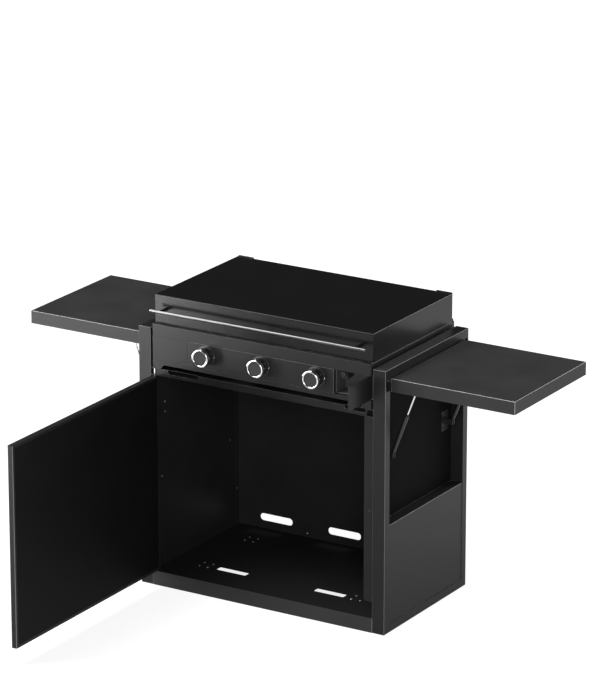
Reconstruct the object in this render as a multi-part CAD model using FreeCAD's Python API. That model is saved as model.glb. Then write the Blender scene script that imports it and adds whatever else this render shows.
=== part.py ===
import FreeCAD, Part
import math
import os

# Outdoor gas griddle station, in millimetres.
# X runs to the right, Y to the back and Z up. The origin is on the floor, below the middle
# of the cabinet's front face. The station stands assembled, with its cabinet door and its
# small battery door open and its side shelves up.

Vec = FreeCAD.Vector

# Cabinet
cabinet_width = 936.0
cabinet_depth = 537.0
cabinet_height = 900.0
side_thickness = 46.0
sheet = 1.2
edge_round = 1.5
panel_lift = 3.0
fit_gap = 0.3
pin_gap = 0.05
post_width = 29.0
cap_height = 31.0
base_border = 29.0
skin_inset = 1.5
skin_gap = 32.5
kick_height = 53.0
deck_drop = 137.0
rail_height = 24.0
rail_return = 14.0

# Vents and passages of the cabinet
back_slot_length = 127.0
back_slot_height = 25.0
back_slot_pitch = 270.0
back_slot_level = 93.5
back_flange_depth = 25.0
floor_slot_length = 113.0
floor_slot_width = 26.0
floor_slot_x = 189.0
floor_slot_y = 128.0
hose_hole_in = 84.0
hose_hole_from_back = 124.0
hose_hole_width = 58.0
hose_hole_depth = 70.0
hose_hole_round = 8.0

# Levelling feet
foot_in = 127.0
foot_from_front = 130.0
foot_from_back = 123.0
foot_plate = 60.0
foot_plate_thickness = 2.0
foot_pad_radius = 16.0
foot_pad_height = 8.0
foot_stem_radius = 5.0
foot_nut_radius = 9.0
foot_nut_height = 10.0
foot_screw_pitch = 33.0
foot_screw_radius = 2.5
foot_screw_head_radius = 4.5
foot_screw_head_height = 2.5
foot_screw_length = 8.0
foot_screw_round = 1.2
foot_pad_chamfer = 2.0

# Cabinet door, standing open at a right angle
door_thickness = 20.0
door_gap = 5.0
door_bottom_gap = 3.0
door_top_gap = 4.0
door_pivot_in = 9.5
door_pivot_end = 5.5
door_edge_round = 3.0
door_border = 10.0
door_pin_radius = 4.0
door_pin_grip = 12.0
liner_sheet = 0.8
liner_setback = 0.4

# Door stop on the right-hand side, with its magnet
stop_width = 44.0
stop_gap = 2.0
stop_return = 38.0
stop_bottom = 100.0
stop_round = 10.0
catch_height = 412.0
catch_x_in = 23.5
catch_hole_radius = 3.5
catch_width = 30.0
catch_depth = 12.0
catch_length = 36.0

# Notches in the deck's front edge
notch_left_in = 67.0
notch_left_length = 117.0
notch_right_in = 27.0
notch_right_length = 78.0
notch_height = 13.0
notch_depth = 6.0
notch_round = 4.0

# Screw heads on the cabinet's inner walls: those of the strut brackets, and single ones,
# each as its distance from the front or the back and its height
screw_head_radius = 3.5
screw_head_height = 1.8
bracket_screw_in = 7.0
bracket_screw_levels = (27.0, -8.0)
front_wall_screws = ((59.0, 367.0),)
rear_wall_screws = ((55.0, 368.0), (13.0, 183.0))
back_screw_x = -147.0
back_screw_z = 66.0

# Side shelves
shelf_length = 447.0
shelf_side_gap = 1.3
shelf_thickness = 44.0
shelf_end_gap = 3.0
shelf_return = 12.0
shelf_fold_gap = 2.3
shelf_pivot_down = 8.0
ear_radius = 6.5
ear_thickness = 8.0
ear_side_gap = 0.4
ear_pin_radius = 3.5
ear_slot_height = 41.0
ear_slot_front = 8.0

# Gas struts of the shelves
strut_inset_y = 75.0
strut_foot_out = 28.0
strut_foot_down = 266.0
strut_head_along = 81.0
strut_head_down = 26.0
strut_cylinder_radius = 7.0
strut_rod_radius = 3.0
strut_cylinder_start = 14.0
strut_end_gap = 27.5
strut_rod_end_gap = 1.5
strut_wall_end = 4.0
strut_neck_radius = 3.5
strut_cylinder_round = 1.5
strut_eye_radius = 6.0
strut_eye_thickness = 8.0
strut_pin_radius = 2.5
cheek_gap = 0.5
cheek_thickness = 2.0
cheek_reach = 8.0
cheek_height = 18.0
strut_plate_width = 44.0
strut_plate_height = 68.0
strut_plate_thickness = 2.0
strut_plate_round = 3.0
plate_screw_y = 14.0
plate_screw_z = 22.0
plate_screw_radius = 3.5
plate_screw_height = 2.0
hanger_width = 16.0
hanger_thickness = 2.0

# Burner box
box_side_gap = 7.0
box_end_gap = 0.5
box_height = 152.0
box_wall = 1.5
box_round = 2.0
base_band = 30.0
rim_band = 40.0
seam = 0.5
flange_in = 12.0
box_foot_height = 15.0
box_foot_front = 32.0
box_foot_slant = 11.0
side_foot_front = 128.0
side_foot_rear = 57.0
side_foot_slant = 20.0
rim_front = 70.0
rim_side = 18.0
rim_rear = 22.0
ledge_depth = 16.0
ledge_width = 14.0
ledge_rear_width = 18.0
end_panel_width = 139.0
corner_gap = 11.5

# Grease tray on the deck
tray_offset = 12.5
tray_width = 96.0
tray_front = 61.0
tray_length = 373.0
tray_height = 54.0
tray_front_drop = 4.0
tray_front_part = 109.0
tray_wall = 1.5
tray_taper = 5.0
tray_rim = 4.0
tray_lip_depth = 14.0
tray_lip_side = 12.0
tray_lip_level = 32.0
tray_tab_length = 30.0
tray_tab_width = 40.0
tray_tab_level = 44.0
tray_jamb_width = 10.0
tray_sill_height = 6.0
tray_bay_gap = 3.5

# Battery compartment
compartment_depth = 55.0
compartment_wall = 1.0
compartment_side_gap = 3.0
small_door_thickness = 8.0
small_door_gap = 1.5
small_door_end = 2.0
small_pivot_end = 6.0
small_pivot_in = 4.0
small_pin_radius = 2.5
small_pin_length = 5.0
igniter_width = 30.0
igniter_depth = 38.0
igniter_height = 32.0

# Burners and their pan
burner_gap = 65.0
burner_side_margin = 65.0
burner_front_margin = 22.7
burner_rear_margin = 58.5
burner_bend = 38.0
burner_radius = 8.0
burner_wall = 1.0
centre_burner_radius = 7.0
centre_burner_front_in = 65.0
centre_burner_rear_in = 60.0
centre_burner_round = 2.0
pan_drop = 45.0
pan_sheet = 1.0
pan_front_gap = 1.5
pan_lap = 2.0
well_depth = 14.0
well_margin = 19.0
well_round = 40.0
island_side_in = 19.0
island_front_in = 50.0
island_rear_in = 40.0
island_round = 20.0
island_drop = 2.0
riser_gap = 0.5
igniter_back_in = 207.0
sleeve_radius = 7.5
sleeve_length = 18.0
sleeve_round = 1.5
sleeve_end_in = 21.0
ceramic_radius = 4.0
spark_gap = 1.2
ceramic_collar_radius = 5.2
ceramic_collar_length = 6.0
ceramic_collar_start = 12.0
spark_wire_radius = 1.0
spark_wire_length = 3.5

# Gas line, valves and knobs
knob_end_margin = 67.0
knob_offset = 2.5
knob_level = 75.4
valve_width = 26.0
valve_above = 12.0
valve_below = 22.0
valve_neck_wall = 4.0
valve_front = 10.0
valve_back = 46.0
manifold_radius = 8.0
manifold_end = 20.0
feed_radius = 5.0
feed_drop = 14.0
feed_behind_burner_front = 50.0
riser_back = 25.0
cross_radius = 6.5
riser_radius = 5.5
cross_end = 1.5
elbow_radius = 9.5
inlet_length = 26.0
inlet_bottom = 24.0
inlet_nut_radius = 14.0
inlet_nut_height = 10.0
panel_hole_radius = 12.0
bezel_radius = 34.0
bezel_thickness = 4.0
bezel_chamfer = 1.5
bezel_hole_radius = 8.0
stem_radius = 4.0
stem_depth = 27.0
knob_radius = 28.5
knob_face_radius = 25.2
knob_depth = 31.0
knob_back_gap = 8.0
knob_collar = 20.0
ring_radius = 30.5
ring_wall = 5.0
ring_depth = 12.0
ring_proud = 2.5
knob_travel = 3.0
knob_round = 1.5
knob_bore_end = 6.0
stem_tip_in = 8.0
ring_back_gap = 0.2
ring_bore_gap = 0.1

# Grease chute between the first two burners
chute_in = 23.7
chute_radius = 12.0
chute_wall = 1.0
chute_top_gap = 4.0
chute_collar_out = 4.0
chute_collar_height = 2.0
drain_radius = 9.0

# Clips at the pan's rear corners, which locate the griddle
clip_length = 22.0
clip_wall = 8.0
clip_foot = 3.0

# Griddle
griddle_side_gap = 6.5
griddle_front_gap = 1.8
griddle_rear_gap = 2.8
griddle_height = 88.4
griddle_lip = 26.0
griddle_plate = 6.0
griddle_wall = 3.0
griddle_lip_wall = 5.0
griddle_round = 12.0
griddle_bottom_edge = 2.5
wall_front_turn = 14.0
bead_radius = 2.5
bead_level = 68.5
bead_inner = 25.0
bead_end_in = 64.5
leg_in = 15.5
leg_length = 105.0
leg_height = 12.0
leg_step_start = 53.0
leg_step_height = 5.0
leg_thickness = 3.5
leg_slant = 5.0
leg_end_slant = 2.0
hook_plate_width = 14.0
hook_plate_thickness = 1.5
hook_plate_height = 16.0
hook_below_top = 4.0
hook_width = 10.0
hook_out = 7.0
hook_height = 5.0
hook_level = 16.0
hook_stem_radius = 2.0
hook_stem_length = 30.0
hook_stem_level = 44.0
hook_stem_out = 3.0

# Lid
lid_side_gap = 1.0
lid_front_gap = 14.2
lid_rear_gap = 11.5
lid_height = 96.0
lid_round = 3.0
handle_radius = 5.0
handle_end_in = 6.0
handle_level = 51.5
handle_reach = 38.0
handle_post_in = 45.0
handle_post_radius = 5.5
handle_round = 1.5
leaf_in = 2.0
leaf_length = 60.0
leaf_thickness = 2.0
leaf_above_lid = 3.0
leaf_lift = 2.4
knuckle_radius = 3.6
knuckle_length = 19.0
knuckle_side_gap = 0.4
hinge_pin_radius = 2.0
hinge_offset = 4.0
hinge_rise = 5.4
hinge_plate = 1.0

# Places worked out from the sizes above
side_outer = cabinet_width / 2
side_inner = side_outer - side_thickness
side_wall_face = side_inner + sheet
cap_bottom = cabinet_height - cap_height
deck_height = cabinet_height - deck_drop
rail_bottom = deck_height - rail_height
inner_half = side_inner - fit_gap
hose_hole_x = -(side_inner - hose_hole_in)
hose_hole_y = cabinet_depth - hose_hole_from_back
foot_x = side_inner - foot_in
foot_rear_y = cabinet_depth - foot_from_back
notch_left_start = -(side_inner - notch_left_in)
notch_right_end = side_inner - notch_right_in

door_width = 2 * (side_inner - door_gap)
door_bottom = kick_height + door_bottom_gap
door_top = rail_bottom - door_top_gap
door_pivot_x = -(side_inner - door_gap - door_pivot_end)
door_pivot_y = door_pivot_in
door_outer_x = door_pivot_x - door_pivot_in
door_inner_x = door_outer_x + door_thickness
door_hinge_y = door_pivot_y + door_pivot_end
door_free_y = door_hinge_y - door_width

shelf_front = post_width + shelf_side_gap
shelf_back = cabinet_depth - shelf_front
shelf_inner_x = side_outer + shelf_end_gap
shelf_outer_x = shelf_inner_x + shelf_length
shelf_top = cap_bottom
shelf_pivot_x = side_wall_face + shelf_fold_gap + shelf_thickness - shelf_pivot_down
shelf_pivot_z = shelf_top - shelf_pivot_down
shelf_folded_end = shelf_pivot_z - (shelf_outer_x - shelf_pivot_x)
skin_top = shelf_folded_end - skin_gap

strut_foot_x = side_inner + strut_foot_out
strut_foot_z = shelf_pivot_z - strut_foot_down
strut_head_x = shelf_pivot_x + strut_head_along
strut_head_z = shelf_pivot_z - strut_head_down
strut_rise = strut_head_z - strut_foot_z
strut_run = strut_head_x - strut_foot_x
strut_angle = math.degrees(math.atan2(strut_run, strut_rise))
strut_length = math.hypot(strut_run, strut_rise)
folded_run = shelf_pivot_x - strut_head_down - strut_foot_x
folded_rise = shelf_pivot_z - strut_head_along - strut_foot_z
folded_angle = math.degrees(math.atan2(folded_run, folded_rise))
folded_length = math.hypot(folded_run, folded_rise)
strut_bore_start = strut_cylinder_start + strut_wall_end
strut_cylinder_end = folded_length - strut_eye_radius - strut_end_gap
strut_rod_length = folded_length - strut_bore_start - strut_rod_end_gap

box_bottom = deck_height + fit_gap
box_front = box_end_gap
box_back = cabinet_depth - box_end_gap
box_half = side_inner - box_side_gap
box_top = box_bottom + box_height
base_top = box_bottom + base_band
rim_bottom = box_top - rim_band
ledge_top = box_top - ledge_depth
ledge_half = box_half - rim_side
knob_z = box_bottom + knob_level
manifold_y = valve_back + manifold_radius + fit_gap
panel_half = box_half - end_panel_width
knob_pitch = panel_half - knob_end_margin

griddle_front = box_front + rim_front + griddle_front_gap
griddle_back = box_back - rim_rear - griddle_rear_gap
griddle_half = ledge_half - griddle_side_gap
griddle_bottom = ledge_top + fit_gap
griddle_top = griddle_bottom + griddle_height
griddle_lip_top = griddle_bottom + griddle_lip
leg_outer = griddle_half - leg_in
leg_inner = leg_outer - leg_length
leg_step_x = leg_inner + leg_step_start
bead_outer = griddle_half - bead_end_in

pan_level = box_top - pan_drop
pan_half = ledge_half - ledge_width + pan_lap
pan_front = griddle_front + leg_thickness + pan_front_gap
pan_back = box_back - rim_rear - ledge_rear_width + pan_lap
burner_front = pan_front + burner_front_margin
burner_back = pan_back - burner_rear_margin
burner_half_width = (pan_half - burner_side_margin - burner_gap) / 3
burner_pitch = 2 * burner_half_width + burner_gap
centre_burner_front = burner_front + centre_burner_front_in
centre_burner_back = burner_back - centre_burner_rear_in
island_level = pan_level - island_drop
island_half_width = burner_half_width - island_side_in
island_front = burner_front + island_front_in
island_back = burner_back - island_rear_in
igniter_y = burner_front + igniter_back_in
ceramic_length = (burner_half_width - sleeve_end_in - sleeve_length - fit_gap
                  - spark_wire_length - spark_gap - centre_burner_radius)
feed_back = burner_front + feed_behind_burner_front
tube_level = pan_level - well_depth + burner_radius + fit_gap

chute_x = -burner_pitch / 2
chute_y = griddle_front + chute_in
tray_x = chute_x + tray_offset
tray_bottom = deck_height + fit_gap
tray_back = tray_front + tray_length
tray_left = tray_x - tray_width / 2
tray_right = tray_x + tray_width / 2

lid_bottom = box_top + fit_gap
lid_top = lid_bottom + lid_height
lid_front = box_front + lid_front_gap
lid_back = box_back - lid_rear_gap
lid_half = box_half - lid_side_gap
lid_pivot_y = lid_back + leaf_thickness + hinge_offset
lid_pivot_z = lid_bottom + hinge_rise
handle_half_length = lid_half - handle_end_in
handle_post_x = lid_half - handle_post_in
leaf_outer = lid_half - leaf_in
leaf_inner = leaf_outer - leaf_length
knuckle_inner = (leaf_inner + leaf_outer - knuckle_length) / 2
knuckle_outer = knuckle_inner + knuckle_length

small_hinge_x = box_half - small_door_end - small_pivot_end
small_hinge_y = box_front + small_pivot_in
small_door_inner = panel_half + small_door_gap

along_x = Vec(1, 0, 0)
along_y = Vec(0, 1, 0)
along_z = Vec(0, 0, 1)


# Basic forms

def block(x0, x1, y0, y1, z0, z1):
    return Part.makeBox(x1 - x0, y1 - y0, z1 - z0, Vec(x0, y0, z0))


def bar(start, direction, radius, length):
    return Part.makeCylinder(radius, length, start, direction)


def pipe(start, direction, radius, bore, length):
    hole = bar(start - direction, direction, bore, length + 2)
    return bar(start, direction, radius, length).cut(hole)


def joined(pieces):
    whole = pieces[0]
    for piece in pieces[1:]:
        whole = whole.fuse(piece)
    return whole.removeSplitter()


def without(shape, cuts):
    for cutter in cuts:
        shape = shape.cut(cutter)
    return shape


def edge_runs(edge, direction):
    first = edge.Vertexes[0].Point
    last = edge.Vertexes[-1].Point
    run = last.sub(first)
    return abs(run.dot(direction)) > run.Length * 0.999


def rounded_block(x0, x1, y0, y1, z0, z1, radius, direction):
    """A block whose edges along one direction are rounded."""
    shape = block(x0, x1, y0, y1, z0, z1)
    edges = [edge for edge in shape.Edges if edge_runs(edge, direction)]
    return shape.makeFillet(radius, edges)


def softened_block(x0, x1, y0, y1, z0, z1, radius):
    """A block with its upright edges and its top edges rounded."""
    shape = block(x0, x1, y0, y1, z0, z1)
    edges = [edge for edge in shape.Edges if edge.BoundBox.ZMax > z1 - 0.01]
    return shape.makeFillet(radius, edges)


def prism(points, direction):
    """A flat outline, pushed along a direction."""
    wire = Part.makePolygon([Vec(*point) for point in points + points[:1]])
    return Part.Face(wire).extrude(direction)


def on_the_left(shape):
    return shape.mirror(Vec(0, 0, 0), along_x)


def both_sides(shape):
    return Part.makeCompound([shape, on_the_left(shape)])


def save(name, shape):
    shape.exportStep("parts/" + name + ".step")


os.makedirs("parts", exist_ok=True)


# Side panels: folded sheet boxes with a recess for the folded shelf

def shelf_pin_line(radius, y0, y1):
    return bar(Vec(shelf_pivot_x, y0, shelf_pivot_z), along_y, radius, y1 - y0)


def side_panel():
    outer = block(side_inner, side_outer, 0, cabinet_depth, panel_lift, cabinet_height)
    outer = outer.makeFillet(edge_round, outer.Edges)
    inside_x = (side_wall_face, side_outer - sheet)
    rear_post = cabinet_depth - post_width
    border_top = panel_lift + base_border
    recess = block(side_wall_face, side_outer + 1, post_width, rear_post, border_top, cap_bottom)
    below = panel_lift - 1
    above = cabinet_height - sheet
    front_hollow = block(*inside_x, sheet, post_width - sheet, below, above)
    rear_hollow = block(*inside_x, rear_post + sheet, cabinet_depth - sheet, below, above)
    cap_hollow = block(*inside_x, sheet, cabinet_depth - sheet, cap_bottom + sheet, above)
    base_hollow = block(*inside_x, sheet, cabinet_depth - sheet, below, border_top - sheet)
    slot_x = (side_outer - 2 * sheet, side_outer + 1)
    slot_z = (cap_bottom - ear_slot_height, cap_bottom)
    front_slot = block(*slot_x, ear_slot_front, post_width - sheet, *slot_z)
    rear_slot = block(*slot_x, rear_post + sheet, cabinet_depth - ear_slot_front, *slot_z)
    hole = ear_pin_radius + pin_gap
    front_hole = shelf_pin_line(hole, post_width - 2 * sheet, post_width + 1)
    rear_hole = shelf_pin_line(hole, rear_post - 1, rear_post + 2 * sheet)
    cuts = [recess, front_hollow, rear_hollow, cap_hollow, base_hollow]
    return without(outer, cuts + [front_slot, rear_slot, front_hole, rear_hole])


def side_skin():
    """The plate that closes the lower half of the recess, with its top folded in."""
    face = side_outer - skin_inset
    y0 = post_width + fit_gap
    y1 = cabinet_depth - post_width - fit_gap
    bottom = panel_lift + base_border + fit_gap
    plate = block(face - sheet, face, y0, y1, bottom, skin_top)
    fold = block(side_wall_face + fit_gap, face, y0, y1, skin_top - sheet, skin_top)
    return joined([plate, fold])


right_panel = side_panel()
save("side_panel_right", right_panel)
save("side_panel_left", on_the_left(right_panel))
save("side_skins", both_sides(side_skin()))


# Floor with its kick plate, back panel and deck

def foot_places():
    places = []
    for y in (foot_from_front, foot_rear_y):
        for x in (-foot_x, foot_x):
            places.append((x, y))
    return places


def foot_screw_places():
    half = foot_screw_pitch / 2
    places = []
    for x, y in foot_places():
        for dx in (-half, half):
            for dy in (-half, half):
                places.append((x + dx, y + dy))
    return places


def floor_plate():
    back = cabinet_depth - sheet - fit_gap
    plate = block(-inner_half, inner_half, 0, back, kick_height - sheet, kick_height)
    kick = block(-inner_half, inner_half, 0, sheet, panel_lift, kick_height)
    rear = block(-inner_half, inner_half, back - sheet, back, panel_lift, kick_height)
    low = kick_height - 2 * sheet
    high = kick_height + 1
    cuts = []
    for x in (-floor_slot_x, floor_slot_x):
        x0 = x - floor_slot_length / 2
        y0 = floor_slot_y - floor_slot_width / 2
        cuts.append(rounded_block(x0, x0 + floor_slot_length, y0, y0 + floor_slot_width,
                                  low, high, 5.0, along_z))
    for x, y in foot_screw_places():
        cuts.append(bar(Vec(x, y, low), along_z, foot_screw_radius + fit_gap, high - low))
    pin = Vec(door_pivot_x, door_pivot_y, low)
    cuts.append(bar(pin, along_z, door_pin_radius + pin_gap, high - low))
    return without(joined([plate, kick, rear]), cuts)


def back_panel():
    y0 = cabinet_depth - sheet
    top = deck_height - sheet - fit_gap
    panel = block(-inner_half, inner_half, y0, cabinet_depth, panel_lift, top)
    flange = block(inner_half - sheet, inner_half, cabinet_depth - back_flange_depth, y0,
                   kick_height + fit_gap, top)
    panel = joined([panel, flange, on_the_left(flange)])
    cuts = []
    half_height = back_slot_height / 2
    for x in (-back_slot_pitch, 0, back_slot_pitch):
        x0 = x - back_slot_length / 2
        z0 = back_slot_level - half_height
        cuts.append(rounded_block(x0, x0 + back_slot_length, y0 - 1, cabinet_depth + 1,
                                  z0, z0 + back_slot_height, half_height * 0.95, along_y))
    return without(panel, cuts)


def deck_notch(x0, x1):
    """A notch in the deck's front edge, with its lower corners rounded."""
    low = deck_height - notch_height
    shape = block(x0, x1, -1, notch_depth, low, deck_height + 1)
    corners = [edge for edge in shape.Edges
               if edge_runs(edge, along_y) and edge.BoundBox.ZMax < low + 0.01]
    return shape.makeFillet(notch_round, corners)


def deck():
    plate = block(-inner_half, inner_half, 0, cabinet_depth, deck_height - sheet, deck_height)
    rail = block(-inner_half, inner_half, 0, sheet, rail_bottom, deck_height)
    fold = block(-inner_half, inner_half, 0, rail_return, rail_bottom, rail_bottom + sheet)
    x0 = hose_hole_x - hose_hole_width / 2
    y0 = hose_hole_y - hose_hole_depth / 2
    hose_hole = rounded_block(x0, x0 + hose_hole_width, y0, y0 + hose_hole_depth,
                              deck_height - 2 * sheet, deck_height + 1, hose_hole_round, along_z)
    corner_x = door_pivot_x + door_pin_radius * 3
    window_z = (rail_bottom + sheet, deck_height - sheet)
    window = block(-inner_half - 1, corner_x, -1, 2 * sheet, *window_z)
    notches = [deck_notch(notch_left_start, notch_left_start + notch_left_length),
               deck_notch(notch_right_end - notch_right_length, notch_right_end)]
    pin = bar(Vec(door_pivot_x, door_pivot_y, rail_bottom - 1), along_z,
              door_pin_radius + pin_gap, rail_height + 2)
    cuts = [hose_hole, window, on_the_left(window), pin]
    return without(joined([plate, rail, fold]), cuts + notches)


def hose_grommet():
    x0 = hose_hole_x - hose_hole_width / 2 + fit_gap
    x1 = hose_hole_x + hose_hole_width / 2 - fit_gap
    y0 = hose_hole_y - hose_hole_depth / 2 + fit_gap
    y1 = hose_hole_y + hose_hole_depth / 2 - fit_gap
    wall = 2.0
    low = deck_height - 3 * sheet
    high = deck_height + sheet
    outer = rounded_block(x0, x1, y0, y1, low, high, hose_hole_round - fit_gap, along_z)
    inner = rounded_block(x0 + wall, x1 - wall, y0 + wall, y1 - wall, low - 1, high + 1,
                          hose_hole_round - wall, along_z)
    flange = rounded_block(x0 - wall, x1 + wall, y0 - wall, y1 + wall, deck_height, high,
                           hose_hole_round, along_z)
    return joined([outer, flange]).cut(inner)


save("floor_plate", floor_plate())
save("back_panel", back_panel())
save("deck", deck())
save("hose_grommet", hose_grommet())


# Levelling feet below the floor plate, each held by four screws

def levelling_foot(x, y):
    top = kick_height - sheet
    plate_bottom = top - foot_plate_thickness
    half = foot_plate / 2
    plate = block(x - half, x + half, y - half, y + half, plate_bottom, top)
    screw_holes = []
    for dx in (-foot_screw_pitch / 2, foot_screw_pitch / 2):
        for dy in (-foot_screw_pitch / 2, foot_screw_pitch / 2):
            centre = Vec(x + dx, y + dy, plate_bottom - 1)
            screw_holes.append(bar(centre, along_z, foot_screw_radius + pin_gap,
                                   foot_plate_thickness + 2))
    nut = bar(Vec(x, y, plate_bottom - foot_nut_height), along_z, foot_nut_radius, foot_nut_height)
    stem = bar(Vec(x, y, foot_pad_height / 2), along_z, foot_stem_radius, plate_bottom - foot_pad_height / 2)
    pad = bar(Vec(x, y, 0), along_z, foot_pad_radius, foot_pad_height)
    rim = [edge for edge in pad.Edges if edge.BoundBox.ZMin > foot_pad_height - 0.1]
    pad = pad.makeChamfer(foot_pad_chamfer, rim)
    return joined([without(plate, screw_holes), nut, stem, pad])


def foot_screw(x, y):
    head = bar(Vec(x, y, kick_height), along_z, foot_screw_head_radius, foot_screw_head_height)
    top = kick_height + foot_screw_head_height
    rim = [edge for edge in head.Edges if edge.BoundBox.ZMin > top - 0.1]
    head = head.makeFillet(foot_screw_round, rim)
    shank = bar(Vec(x, y, kick_height - foot_screw_length), along_z, foot_screw_radius, foot_screw_length)
    return joined([head, shank])


save("levelling_feet", Part.makeCompound([levelling_foot(*place) for place in foot_places()]))


def wall_screw(y, z, face=side_inner):
    """A screw head on the inner face of the right-hand panel, or of the flange in front of it."""
    return bar(Vec(face - screw_head_height, y, z), along_x, screw_head_radius, screw_head_height)


def cabinet_screws():
    screws = [foot_screw(*place) for place in foot_screw_places()]
    for y in (strut_inset_y + bracket_screw_in, cabinet_depth - strut_inset_y - bracket_screw_in):
        for level in bracket_screw_levels:
            head = wall_screw(y, strut_foot_z + level)
            screws += [head, on_the_left(head)]
    for y, z in rear_wall_screws:
        face = inner_half - sheet if y < back_flange_depth else side_inner
        head = wall_screw(cabinet_depth - y, z, face)
        screws += [head, on_the_left(head)]
    for y, z in front_wall_screws:
        screws.append(on_the_left(wall_screw(y, z)))
    back_face = cabinet_depth - sheet
    screws.append(bar(Vec(back_screw_x, back_face - screw_head_height, back_screw_z), along_y,
                      screw_head_radius, screw_head_height))
    return Part.makeCompound(screws)


save("cabinet_screws", cabinet_screws())


# Cabinet door: a folded pan closed by an inner sheet, on two upright pins

def door_panel():
    shell = rounded_block(door_outer_x, door_inner_x, door_free_y, door_hinge_y,
                          door_bottom, door_top, door_edge_round, along_z)
    hollow = block(door_outer_x + sheet, door_inner_x - sheet, door_free_y + sheet,
                   door_hinge_y - sheet, door_bottom + sheet, door_top - sheet)
    mouth = block(door_inner_x - 2 * sheet, door_inner_x + 1, door_free_y + door_border,
                  door_hinge_y - door_border, door_bottom + door_border, door_top - door_border)
    pin_hole = bar(Vec(door_pivot_x, door_pivot_y, door_bottom - 1), along_z,
                   door_pin_radius + pin_gap, door_top - door_bottom + 2)
    return without(shell, [hollow, mouth, pin_hole])


def door_liner():
    face = door_inner_x - liner_setback
    border = door_border + fit_gap
    return block(face - liner_sheet, face, door_free_y + border, door_hinge_y - border,
                 door_bottom + border, door_top - border)


def door_pins():
    top = bar(Vec(door_pivot_x, door_pivot_y, door_top - door_pin_grip), along_z,
              door_pin_radius, deck_height - door_top + door_pin_grip)
    low_end = kick_height - door_pin_grip
    bottom = bar(Vec(door_pivot_x, door_pivot_y, low_end), along_z,
                 door_pin_radius, door_bottom + door_pin_grip - low_end)
    return [top, bottom]


save("door_panel", door_panel())
save("door_liner", door_liner())


# Door stop, folded from sheet, with a magnet behind it

def door_stop():
    face = door_thickness + stop_gap
    outer = side_inner - fit_gap
    strip = rounded_block(side_inner - stop_width, outer + stop_round, face, face + sheet,
                          stop_bottom, door_top, stop_round, along_y)
    strip = strip.common(block(side_inner - stop_width, outer, face, face + sheet,
                               stop_bottom, door_top))
    leg = block(outer - sheet, outer, face, face + stop_return, stop_bottom, door_top)
    hole = bar(Vec(side_inner - catch_x_in, face - 1, catch_height), along_y,
               catch_hole_radius, sheet + 2)
    return joined([strip, leg]).cut(hole)


def door_magnet():
    centre = side_inner - catch_x_in
    back_face = door_thickness + stop_gap + sheet
    return rounded_block(centre - catch_width / 2, centre + catch_width / 2,
                         back_face, back_face + catch_depth,
                         catch_height - catch_length / 2, catch_height + catch_length / 2,
                         2.0, along_y)


save("door_stop", door_stop())
save("door_magnet", door_magnet())


# Side shelves: upturned trays with ears that turn on pins in the side panels

def ear(y0):
    eye = bar(Vec(shelf_pivot_x, y0, shelf_pivot_z), along_y, ear_radius, ear_thickness)
    arm = block(shelf_pivot_x, shelf_inner_x + sheet, y0, y0 + ear_thickness,
                shelf_pivot_z - ear_radius, shelf_pivot_z + ear_radius)
    hole = shelf_pin_line(ear_pin_radius + pin_gap, y0 - 1, y0 + ear_thickness + 1)
    return eye.fuse(arm).cut(hole)


def strut_hanger(centre_y, side):
    """A plate below the shelf's top that carries the head of a gas strut."""
    near = centre_y + side * (strut_eye_thickness / 2 + cheek_gap)
    far = near + side * hanger_thickness
    half = hanger_width / 2
    return block(strut_head_x - half, strut_head_x + half, min(near, far), max(near, far),
                 strut_head_z - strut_eye_radius, shelf_top - sheet / 2)


strut_places = ((strut_inset_y, 1), (cabinet_depth - strut_inset_y, -1))


def side_shelf():
    bottom = shelf_top - shelf_thickness
    outer = softened_block(shelf_inner_x, shelf_outer_x, shelf_front, shelf_back,
                           bottom, shelf_top, edge_round)
    hollow = block(shelf_inner_x + sheet, shelf_outer_x - sheet, shelf_front + sheet,
                   shelf_back - sheet, bottom + sheet, shelf_top - sheet)
    mouth = block(shelf_inner_x + shelf_return, shelf_outer_x - shelf_return,
                  shelf_front + shelf_return, shelf_back - shelf_return, bottom - 1, bottom + 2 * sheet)
    tray = without(outer, [hollow, mouth])
    ears = [ear(shelf_front + ear_side_gap), ear(shelf_back - ear_side_gap - ear_thickness)]
    hangers = [strut_hanger(y, side) for y, side in strut_places]
    return joined([tray] + ears + hangers)


def shelf_pins():
    front_start = post_width - 10
    front_end = shelf_front + ear_side_gap + ear_thickness
    rear_start = shelf_back - ear_side_gap - ear_thickness
    rear_end = cabinet_depth - front_start
    pins = [shelf_pin_line(ear_pin_radius, front_start, front_end),
            shelf_pin_line(ear_pin_radius, rear_start, rear_end)]
    return pins + [on_the_left(pin) for pin in pins]


right_shelf = side_shelf()
save("side_shelf_right", right_shelf)
save("side_shelf_left", on_the_left(right_shelf))
save("hinge_pins", Part.makeCompound(door_pins() + shelf_pins()))


# Gas struts: a cylinder on a bracket in the recess, and a rod that reaches the shelf

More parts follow.
